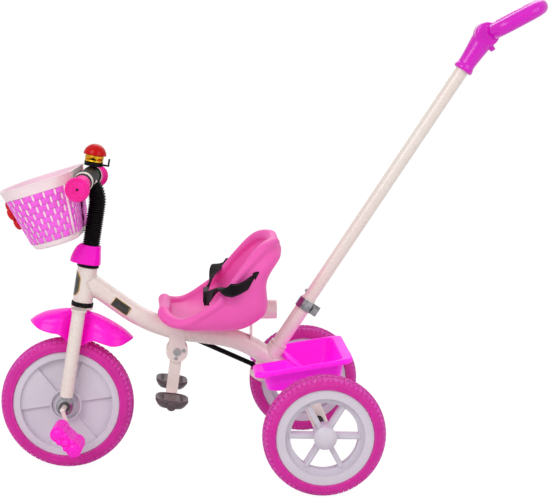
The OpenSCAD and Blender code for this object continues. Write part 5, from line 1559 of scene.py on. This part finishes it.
    def flower(self) -> None:
        """Make the flower on the front, flat against the sloping wall."""
        depth, draft = self.height * self.flower_at, (self.top[0] - self.low[0]) / 2 / self.height
        front = -self.top[0] / 2 - self.bow + draft * depth
        lean = turned("Y", -90 - math.degrees(math.atan(draft)))
        place = self.place @ shifted(front, 0, -depth) @ lean @ shifted(0, 0, self.flower_lift)
        dome = lathe([(0, -3.9), (11.6, -3.9), (12, 1.6), (11.4, 4.0), (9.2, 6.2), (5.4, 7.5), (0, 7.9)], 28)
        self.shop.ring("flower_petals", dome.moved(shifted(self.petal_at, 0, 0)), self.petals, place,
                       "basket_flower", Slot.flower_plastic, stands=True)
        heart = lathe([(0, -4.0), (14, -4.0), (14, 4.0), (10.5, 6.2), (9.6, 7.8), (6.6, 8.0), (0, 8.0)], 36)
        self.shop.put("flower_heart", heart.moved(place).mesh("heart"), "basket_flower", Slot.flower_plastic)


@dataclass
class Seat(Assembly):
    """Bucket seat with a rolled rim, and its lap belt."""

    front_x: float = 183.0
    pan_z: float = 288.0
    top_x: float = 398.0
    top_z: float = 452.0
    half_w: float = 122.0
    side_h: float = 66.0
    wall: float = 4.0
    boxy: tuple[float, float] = (0.72, 2.2)
    depths: tuple[float, ...] = (6.0, 7.0, 8.0, 9.0, 13.0, 22.0, 33.0, 12.0, 20.0, 15.0)
    rim_r: float = 7.5
    rim_sunk: float = 6.0
    rim_out: float = 2.0
    lip_r: float = 12.0
    lip_span: float = 70.0
    rim_points: int = 240
    rim_passes: int = 10
    voxel: float = 2.1
    belt_half: tuple[float, float] = (1.0, 12.5)
    adjuster_at: int = 5
    seam: float = 10.2
    belt_line: tuple[tuple[float, float, float], ...] = (
        (364, 90, 381), (346, 112, 376), (324, 134, 368), (306, 137, 366), (292, 124, 367), (281, 80, 350),
        (266.85, 22.15, 329))
    belt_width: tuple[tuple[float, float, float], ...] = (
        (0.3, 0, 1), (0.3, 0, 1), (0.5, 0, 0.9), (0.95, 0.05, 0.35), (1, 0, 0.1), (0.5, 0, 0.8), (0, 0, 1))
    fine: int = 6
    across: int = 56
    rows: tuple[tuple[float, float, float, float], ...] = (
        (0.018, 0.160, 0.46, 0.03), (0.062, 0.092, 0.70, 0.07), (0.190, 0.016, 0.92, 0.24),
        (0.405, 0.000, 1.00, 0.68), (0.590, 0.018, 1.00, 1.00), (0.700, 0.100, 0.98, 1.02),
        (0.772, 0.256, 0.94, 0.92), (0.860, 0.524, 0.87, 0.74), (0.944, 0.800, 0.66, 0.42),
        (0.995, 0.905, 0.30, 0.08))

    def line(self, s: float) -> np.ndarray:
        """Along, up, half width and side height at s counted in rows."""
        row = through(np.array(self.rows), s)
        return np.array([self.front_x + (self.top_x - self.front_x) * row[0],
                         self.pan_z + (self.top_z - self.pan_z) * row[1],
                         row[2] * self.half_w, row[3] * self.side_h])

    def surface(self, outer: bool) -> np.ndarray:
        """Rows of points of the seat's upper face or of its fuller under face.

        Args:
            outer: Whether it is the under face.

        Returns:
            Array of rows, columns and coordinates.
        """
        last = len(self.rows) - 1
        u = np.linspace(-math.pi / 2, math.pi / 2, self.across + 1)
        made = []
        for s in np.linspace(0, last, last * self.fine + 1):
            p = self.line(s)
            along = unit((self.line(min(s + 0.33, last)) - self.line(max(s - 0.33, 0)))[:2])
            y, h = p[2] * np.sin(u), p[3] * (1 - np.cos(u))
            if outer:
                y = (p[2] + self.wall) * np.sign(u) * np.abs(np.sin(u)) ** self.boxy[0]
                h = p[3] * (1 - np.cos(u)) ** self.boxy[1] - through(np.array(self.depths)[:, None], s)[0]
            made.append(np.stack([p[0] - along[1] * h, y, p[1] + along[0] * h], 1))
        return np.array(made)

    def build(self) -> None:
        """Make the shell with its rim, the belt and the buckle."""
        self.shell(self.surface(False), self.surface(True))
        self.belt()
        self.shop.soften("buckle", 2.2, 3)

    def shell(self, face: np.ndarray, under: np.ndarray) -> None:
        """Melt the double-walled shell and its rolled rim into one moulding.

        Args:
            face: Rows of points of the upper face.
            under: Rows of points of the under face.
        """
        normal = unit(np.cross(np.gradient(face, axis=0), np.gradient(face, axis=1)))
        n, m = face.shape[:2]
        edge = [(i, 0) for i in range(n)] + [(n - 1, j) for j in range(1, m)]
        edge += [(i, m - 1) for i in range(n - 2, -1, -1)] + [(0, j) for j in range(m - 2, 0, -1)]
        upper, lower = grid(face), grid(under)
        ids = [i * m + j for i, j in edge]
        faces = upper.faces + [tuple(k + n * m for k in f[::-1]) for f in lower.faces]
        faces += [(a, b, b + n * m, a + n * m) for a, b in zip(ids, ids[1:] + ids[:1])]
        body = Shape(np.concatenate([upper.points, lower.points]), faces)
        inward = np.array([face[min(max(i, 1), n - 2), min(max(j, 1), m - 2)] - face[i, j] for i, j in edge])
        flat = np.array([normal[i, j] for i, j in edge])
        loop = np.array([face[i, j] for i, j in edge]) + self.rim_sunk * unit(inward) - self.rim_out * flat
        run = run_along(loop)
        at = np.linspace(0, run[-1], self.rim_points, endpoint=False)
        loop, flat = sampled(loop, run, at), sampled(flat, run, at)
        for _ in range(self.rim_passes):
            loop = (np.roll(loop, 1, 0) + 2 * loop + np.roll(loop, -1, 0)) / 4
            flat = unit(np.roll(flat, 1, 0) + 2 * flat + np.roll(flat, -1, 0))
        ends = np.maximum(self.front_x - loop[:, 0], loop[:, 2] - self.top_z) / self.lip_span + 1
        sizes = self.rim_r + (self.lip_r - self.rim_r) * eased(np.clip(ends, 0, 1))
        rim = sweep(loop, circle(20), flat, True, sizes)
        mesh = settled(body.joined(rim).moved(LAYOUT.placed).mesh("seat"),
                       ("REMESH", {"mode": "VOXEL", "voxel_size": self.voxel * MM}),
                       ("SMOOTH", {"factor": 0.5, "iterations": 14}))
        mesh.shade_smooth()
        self.shop.put("seat_moulding", mesh, "seat", Slot.seat_plastic, stands=True)

    def belt(self) -> None:
        """Run both straps of the lap belt from the wings over the rim to the buckle, and stitch them."""
        adjusters = []
        for side, name in SIDES:
            mirror = np.array([1, -side, 1])
            points, ups = np.array(self.belt_line) * mirror, np.array(self.belt_width) * mirror
            steps = np.linspace(0, len(points) - 1, 61)
            path = np.array([through(points, s) for s in steps])
            up = unit(np.array([through(ups, s) for s in steps]))
            section = boxed(*self.belt_half, 0.9, 3)
            strap = sweep(path, section, up).moved(LAYOUT.placed)
            strap.flat = np.stack([np.repeat(run_along(path), len(section)),
                                   np.tile(section[:, 1], len(path))], 1)
            node = "belt_" + name
            self.shop.put(node + "_webbing", strap.mesh(node), node, Slot.webbing, stands=True)
            self.stitches(path, up, name)
            k = self.adjuster_at
            along = unit(path[k + 2] - path[k - 2])
            adjusters.append(Spot(LAYOUT.placed @ framed(along, unit(np.cross(up[k], along)), path[k])))
        bar = sweep(np.array([[x, 0, 0] for x in np.linspace(-8, 8, 5)]), boxed(15.5, 3.2, 2.4, 4),
                    np.array([0, 0, 1.0]))
        self.shop.spread("belt_adjusters", bar, adjusters, "seat", Slot.black_plastic)

    def stitches(self, path: np.ndarray, up: np.ndarray, name: str) -> None:
        """Sew a row of stitches near both edges of a strap.

        Args:
            path: Middle line of the strap.
            up: Direction of the strap's width at each point.
            name: Name of its side.
        """
        steps = np.linspace(0, len(path) - 1, 110)
        fine = np.array([through(path, s) for s in steps])
        along = unit(np.gradient(fine, axis=0))
        side = unit(np.cross(np.array([through(up, s) for s in steps]), along))
        over = np.cross(along, side)
        spots = []
        for face in (-1, 1):
            for edge in (-self.seam, self.seam):
                for p, t, n, w in zip(fine[1:-1], along[1:-1], face * side[1:-1], over[1:-1]):
                    spots.append(Spot(LAYOUT.placed @ framed(t, n, p + w * edge + n * 0.95)))
        stitch = lathe([(0, -0.25), (0.5, -0.1), (0.5, 0.15), (0.3, 0.3), (0, 0.35)], 6)
        stitch.points *= (1.5, 0.7, 1.0)
        self.shop.spread(f"belt_{name}_stitches", stitch, spots, "belt_" + name, Slot.webbing, THREAD)


@dataclass
class Bin(Assembly):
    """Toy bin on the rear hoop, with a rolled rim."""

    front_x: float = 354.0
    rear_x: float = 538.0
    half_w: float = 101.0
    front_z: float = 200.0
    rise: float = 8.5
    draft: float = 12.0
    wall: float = 2.5
    rim: float = 5.0
    rim_h: float = 10.0
    floor_z: float = 163.0
    recess_end: float = 476.0
    recess_half: float = 46.0
    recess_rear_half: float = 26.0
    flange: float = 11.0
    roof_from: float = 417.0
    roof_fall: float = 39.3
    roof_foot: float = 476.0
    kink: float = 0.6

    def outline(self, inset: float) -> np.ndarray:
        """Outline of the bin, drawn in by an inset.

        Args:
            inset: Distance inside the rim.

        Returns:
            Points of the outline.
        """
        drawn = inset + self.flange * min(max(inset - 1, 0) / (self.rim - 1), 1)
        x0, x1, y = self.front_x + drawn, self.rear_x - drawn, self.half_w - inset
        left, wide, end = -self.recess_rear_half - inset, self.recess_half + inset, self.recess_end + inset
        turn = self.roof_from
        right = -left + (wide + left) * (end - turn) / (end - x0) + self.kink
        return rounded([(x0, left, 5), (x0, -y, 18), (x1, -y, 18), (x1, y, 18), (x0, y, 18), (x0, wide, 6),
                        (turn, right, 3), (end, -left, 9), (end, left, 9), (turn, left - self.kink, 3)], 8)

    def roof(self, x: np.ndarray) -> np.ndarray:
        """Height of the slope that roofs the recess over the falling frame tube."""
        fall = np.tan(math.radians(self.roof_fall))
        return self.floor_z + self.wall + 1 + np.maximum(self.roof_foot - x, 0) * fall

    def ring(self, inset: float, drop: float | None, z: float = 0.0) -> np.ndarray:
        """Ring of the bin, below its sloping rim by a drop or level at z."""
        line = self.outline(inset)
        rim = self.front_z + (line[:, 0] - self.front_x) * math.tan(math.radians(self.rise))
        recess = (np.abs(line[:, 1]) < self.recess_half) & (line[:, 0] < self.recess_end + 20)
        low = np.where(recess, np.minimum(rim, self.roof(line[:, 0])), rim)
        top = np.maximum(low - (0 if drop is None else drop), self.floor_z + 3.2)
        return np.column_stack([line, np.full(len(line), z) if drop is None else top])

    def build(self) -> None:
        """Make the bin."""
        rim, top, wall, low = self.rim, self.rim_h, self.wall, self.floor_z
        foot = rim + (self.front_z - low) * math.tan(math.radians(self.draft))
        under = [(foot + 4, low), (foot + 1.2, low + 0.6), (foot, low + 3)]
        roll = [(rim, top), (rim - 1, top + 0.3), (0.8, top), (0, top - 0.9), (0.2, 2.6), (1.0, 0.7),
                (2.6, 0), (rim, 0.4), (rim + wall - 0.6, 1.6), (rim + wall, 3.6)]
        rings = [self.ring(inset, None, z) for inset, z in under]
        rings += [self.ring(inset, drop) for inset, drop in roll]
        rings += [self.ring(inset + wall, None, z + wall) for inset, z in under[::-1]]
        shape = grid(np.array(rings), False, True, True)
        rows = []
        for x in np.linspace(self.roof_from - 2, self.roof_foot + 4, 14):
            share = max((self.recess_end - x) / (self.recess_end - self.front_x), 0)
            left, half = -self.recess_rear_half - 3, self.recess_rear_half
            right = half + (self.recess_half - half) * share + 3
            z = float(self.roof(np.array(x))) - 0.4
            rows.append([(x, left, z), (x, right, z), (x, right, z - wall), (x, left, z - wall)])
        roof = grid(np.array(rows), False, True, True)
        mesh = shape.joined(roof).moved(LAYOUT.placed).mesh("rear_bin")
        self.shop.put("rear_bin_shell", mesh, "rear_bin", Slot.bin_plastic, stands=True)


@dataclass
class PushBar(Assembly):
    """Push tube, its driver and clamp, and the moulded handle."""

    push_top: float = 774.0
    handle_low: float = 706.0
    voxel: float = 1.3
    handle_rise: float = 28.0
    knuckle_up: float = 12.0
    loop_from: float = 8.0
    fuller: float = 2.4
    widths: tuple[tuple[str, float], ...] = (
        ("push_driver", 0.5), ("push_tube", 0.4), ("clamp_band", 0.7), ("clamp_bolt", 0.7),
        ("snap_button", 0.9))

    def build(self) -> None:
        """Make the push bar."""
        for node, width in self.widths:
            self.shop.soften(node, width)
        self.handle()

    def fuller_loop(self) -> bpy.types.Mesh:
        """CAD handle with its loop thickened, and moved back so that it stays inside the CAD box."""
        body = softened("push_handle", 0.2, 1)
        rise = turned("Y", -self.handle_rise - LAYOUT.push_lean)
        loop = in_metres(LAYOUT.pushed @ shifted(0, 0, self.push_top + self.knuckle_up) @ rise)
        back, axis = loop.inverted(), loop.to_3x3() @ Vector((1, 0, 0))
        for vertex in body.vertices:
            if (back @ vertex.co).x > self.loop_from * MM:
                vertex.co += (vertex.normal - 1.2 * axis - Vector((0, 0, 0.5))) * self.fuller * MM
        return body

    def handle(self) -> None:
        """Melt the handle's sleeve and loop into one moulding, with a collar and a latch nub."""
        low, top = self.handle_low, self.push_top + self.knuckle_up
        collar = lathe([(13.6, low - 0.2), (17.4, low), (18.8, low + 1.8), (18.8, low + 6.0),
                        (17.4, low + 10.4), (15.4, low + 13.4), (13.6, low + 13.6)], 64, True)
        neck = lathe([(13.4, low + 6), (16.2, low + 6), (16.6, low + 22), (18.2, low + 40), (20.6, top - 18),
                      (21.4, top - 4), (13.4, top - 4)], 48, True)
        knuckle = lathe([(0, -21.0), (18.0, -21.0), (21.6, -19.4), (23.0, -16.0), (23.0, 16.0), (21.6, 19.4),
                         (18.0, 21.0), (0, 21.0)], 48).moved(shifted(0, 0, top) @ turned("X", 90))
        nub = straight(boxed(5, 7, 2, 4), 0, 30, (0, 1, 0)).moved(shifted(0, 0, top - 6) @ turned("Y", 112))
        extra = collar.joined(neck, knuckle, nub).moved(LAYOUT.pushed).mesh("handle_extra")
        bm = bmesh.new()
        for part in (self.fuller_loop(), extra):
            bm.from_mesh(part)
            bpy.data.meshes.remove(part)
        whole = bpy.data.meshes.new("push_handle")
        bm.to_mesh(whole)
        bm.free()
        made = settled(whole, ("REMESH", {"mode": "VOXEL", "voxel_size": self.voxel * MM}),
                       ("SMOOTH", {"factor": 0.5, "iterations": 6}))
        made.shade_smooth()
        self.shop.put("handle_moulding", made, "push_handle", Slot.handle_plastic, stands=True)


@dataclass
class Footrest(Assembly):
    """Folding footrest with two studded pads."""

    pivot: tuple[float, float] = (210.0, 225.0)
    leg_len: float = 84.0
    lean: float = 8.0
    pad_y: float = 71.0
    pad_l: float = 62.0
    pad_w: float = 62.0
    over: float = 10.0
    corner: float = 20.0
    stud_gap: float = 11.0
    stud_edge: float = 13.0
    profile: tuple[tuple[float, float], ...] = (
        (14, -18), (9, -17), (5, -13), (2, -8), (0.4, -5), (0, -3), (0.6, -1.2), (2, 0), (5, 0), (6, -1.2),
        (12, -1.2))

    def pad(self) -> Shape:
        """Make one boat-shaped pad with a sunk top.

        Returns:
            The pad, its top at Z 0.
        """
        rings = []
        for inset, z in self.profile:
            l, w, r = self.pad_l / 2 - inset, self.pad_w / 2 - inset, self.corner - 0.6 * inset
            line = boxed(l, w, r, 10)
            rings.append(np.column_stack([line, np.full(len(line), z)]))
        return grid(np.array(rings), False, True, True)

    def build(self) -> None:
        """Make the leg and the pads with their studs and plugs."""
        self.shop.soften("footrest_leg", 1.6, 3)
        place = LAYOUT.placed @ shifted(self.pivot[0], 0, self.pivot[1]) @ turned("Y", self.lean)
        top = self.over - self.leg_len
        pads = [self.pad().moved(place @ shifted(0, side * self.pad_y, top)) for side in (-1, 1)]
        self.shop.put("moulded_pads", pads[0].joined(pads[1]).mesh("footrest_pads"), "footrest_pads",
                      Slot.pad_rubber, stands=True)
        x = self.pad_l / 2 - self.stud_edge
        spots = [Spot(place @ shifted(end * x, side * self.pad_y + (k - 1.5) * self.stud_gap, top - 1.6))
                 for side in (-1, 1) for k in range(4) for end in (-1, 1)]
        stud = lathe([(0, 0), (3.4, 0), (3.2, 1.2), (2.5, 1.9), (1.5, 1.9), (1.1, 0.9), (0, 0.9)], 16)
        self.shop.spread("pad_studs", stud, spots, "footrest_pads", Slot.pad_rubber)
        plug = lathe([(0, -0.4), (9.0, -0.4), (9.0, 0.8), (8.0, 1.8), (0, 2.0)], 28)
        out = self.pad_y + self.pad_w / 2
        ends = [Spot(place @ shifted(0, side * out, -self.leg_len) @ turned("X", -side * 90))
                for side in (-1, 1)]
        self.shop.spread("pad_plugs", plug, ends, "footrest_pads", Slot.pad_rubber)


@dataclass
class Studio:
    """Camera at the photograph's viewing angle, soft lamps, pale floor and white surround."""

    eye: tuple[float, float, float] = (-0.18396, -2.6, 0.8446)
    yaw: float = 4.23
    pitch: float = 9.30
    lens: float = 90.79
    surround: float = 0.55
    mirrored: float = 0.6
    glare: float = 1.1
    floor_white: float = 0.86
    floor_half: float = 30.0
    lit: tuple[float, float, float] = (0.0, 0.0, 0.3)
    lamps: tuple[tuple[tuple[float, float, float], float, float], ...] = (
        ((-1.6, -2.2, 2.4), 2.0, 40.0), ((1.9, -1.9, 1.7), 1.6, 14.0), ((0.4, 1.9, 2.3), 2.0, 20.0))

    def build(self) -> None:
        """Set up the camera, lamps, floor and surround."""
        scene = bpy.context.scene
        scene.view_settings.view_transform = "Standard"
        yaw, pitch = math.radians(self.yaw), math.radians(self.pitch)
        ahead = Vector((math.sin(yaw) * math.cos(pitch), math.cos(yaw) * math.cos(pitch), -math.sin(pitch)))
        camera = shown("camera", bpy.data.cameras.new("camera"))
        camera.data.lens, camera.data.sensor_width, camera.data.sensor_fit = self.lens, 36.0, "HORIZONTAL"
        camera.location = self.eye
        camera.rotation_euler = ahead.to_track_quat("-Z", "Y").to_euler()
        scene.camera = camera
        for i, (spot, size, watts) in enumerate(self.lamps):
            lamp = shown(f"softbox_{i}", bpy.data.lights.new(f"softbox_{i}", "AREA"))
            lamp.data.energy, lamp.data.size = watts, size
            lamp.location = spot
            lamp.rotation_euler = (Vector(self.lit) - Vector(spot)).to_track_quat("-Z", "Y").to_euler()
        self.floor()
        self.sky()

    def seen(self, tree: bpy.types.NodeTree) -> bpy.types.NodeSocket:
        """Share of white that a ray sees: all of it straight or through glass, less by gloss.

        Args:
            tree: Node tree of the surface.

        Returns:
            The share, 0 for light.
        """
        path = put_node(tree, "ShaderNodeLightPath", {}).outputs
        total = path["Is Camera Ray"]
        for label, share in (("Is Transmission Ray", 1.0), ("Is Glossy Ray", self.mirrored)):
            part = put_node(tree, "ShaderNodeMath", {0: path[label], 1: share}, operation="MULTIPLY")
            most = put_node(tree, "ShaderNodeMath", {0: total, 1: part.outputs[0]}, operation="MAXIMUM")
            total = most.outputs[0]
        return total

    def floor(self) -> None:
        """Lay a pale floor that is white to the camera and keeps a faint shadow."""
        mesh, a = bpy.data.meshes.new("floor"), self.floor_half
        mesh.from_pydata([(-a, -a, 0), (a, -a, 0), (a, a, 0), (-a, a, 0)], [], [(0, 1, 2, 3)])
        floor = shown("floor", mesh)
        shader = Shader("pale_floor")
        shader.set(Base_Color=(0.82, 0.82, 0.82, 1), Roughness=0.9)
        light = shader.put("ShaderNodeEmission", {"Strength": self.glare}).outputs[0]
        share = shader.times(self.seen(shader.tree), self.floor_white)
        mix = shader.put("ShaderNodeMixShader", {0: share, 1: shader.base.outputs[0], 2: light}).outputs[0]
        feed(shader.tree, shader.tree.nodes["Material Output"], {"Surface": mix})
        mesh.materials.append(shader.material)

    def sky(self) -> None:
        """Surround the trike with white that lights it softly."""
        world = bpy.data.worlds.new("surround")
        world.use_nodes = True
        tree = world.node_tree
        level = put_node(tree, "ShaderNodeMapRange", {
            "Value": self.seen(tree), "To Min": self.surround, "To Max": 1.0}).outputs[0]
        feed(tree, tree.nodes["Background"], {"Color": (1, 1, 1, 1), "Strength": level})
        bpy.context.scene.world = world


def main() -> None:
    """Build the trike's looks in order."""
    logging.basicConfig(level=logging.INFO, format="%(name)s %(message)s")
    shop = Shop()
    Studio().build()
    for kind in (Tubes, Wheels, Mudguard, Bars, Bell, Basket, Seat, Bin, PushBar, Footrest):
        LOG.info("building %s", kind.__name__)
        kind(shop).build()
    bpy.context.view_layer.update()


if __name__ == "__main__":
    main()
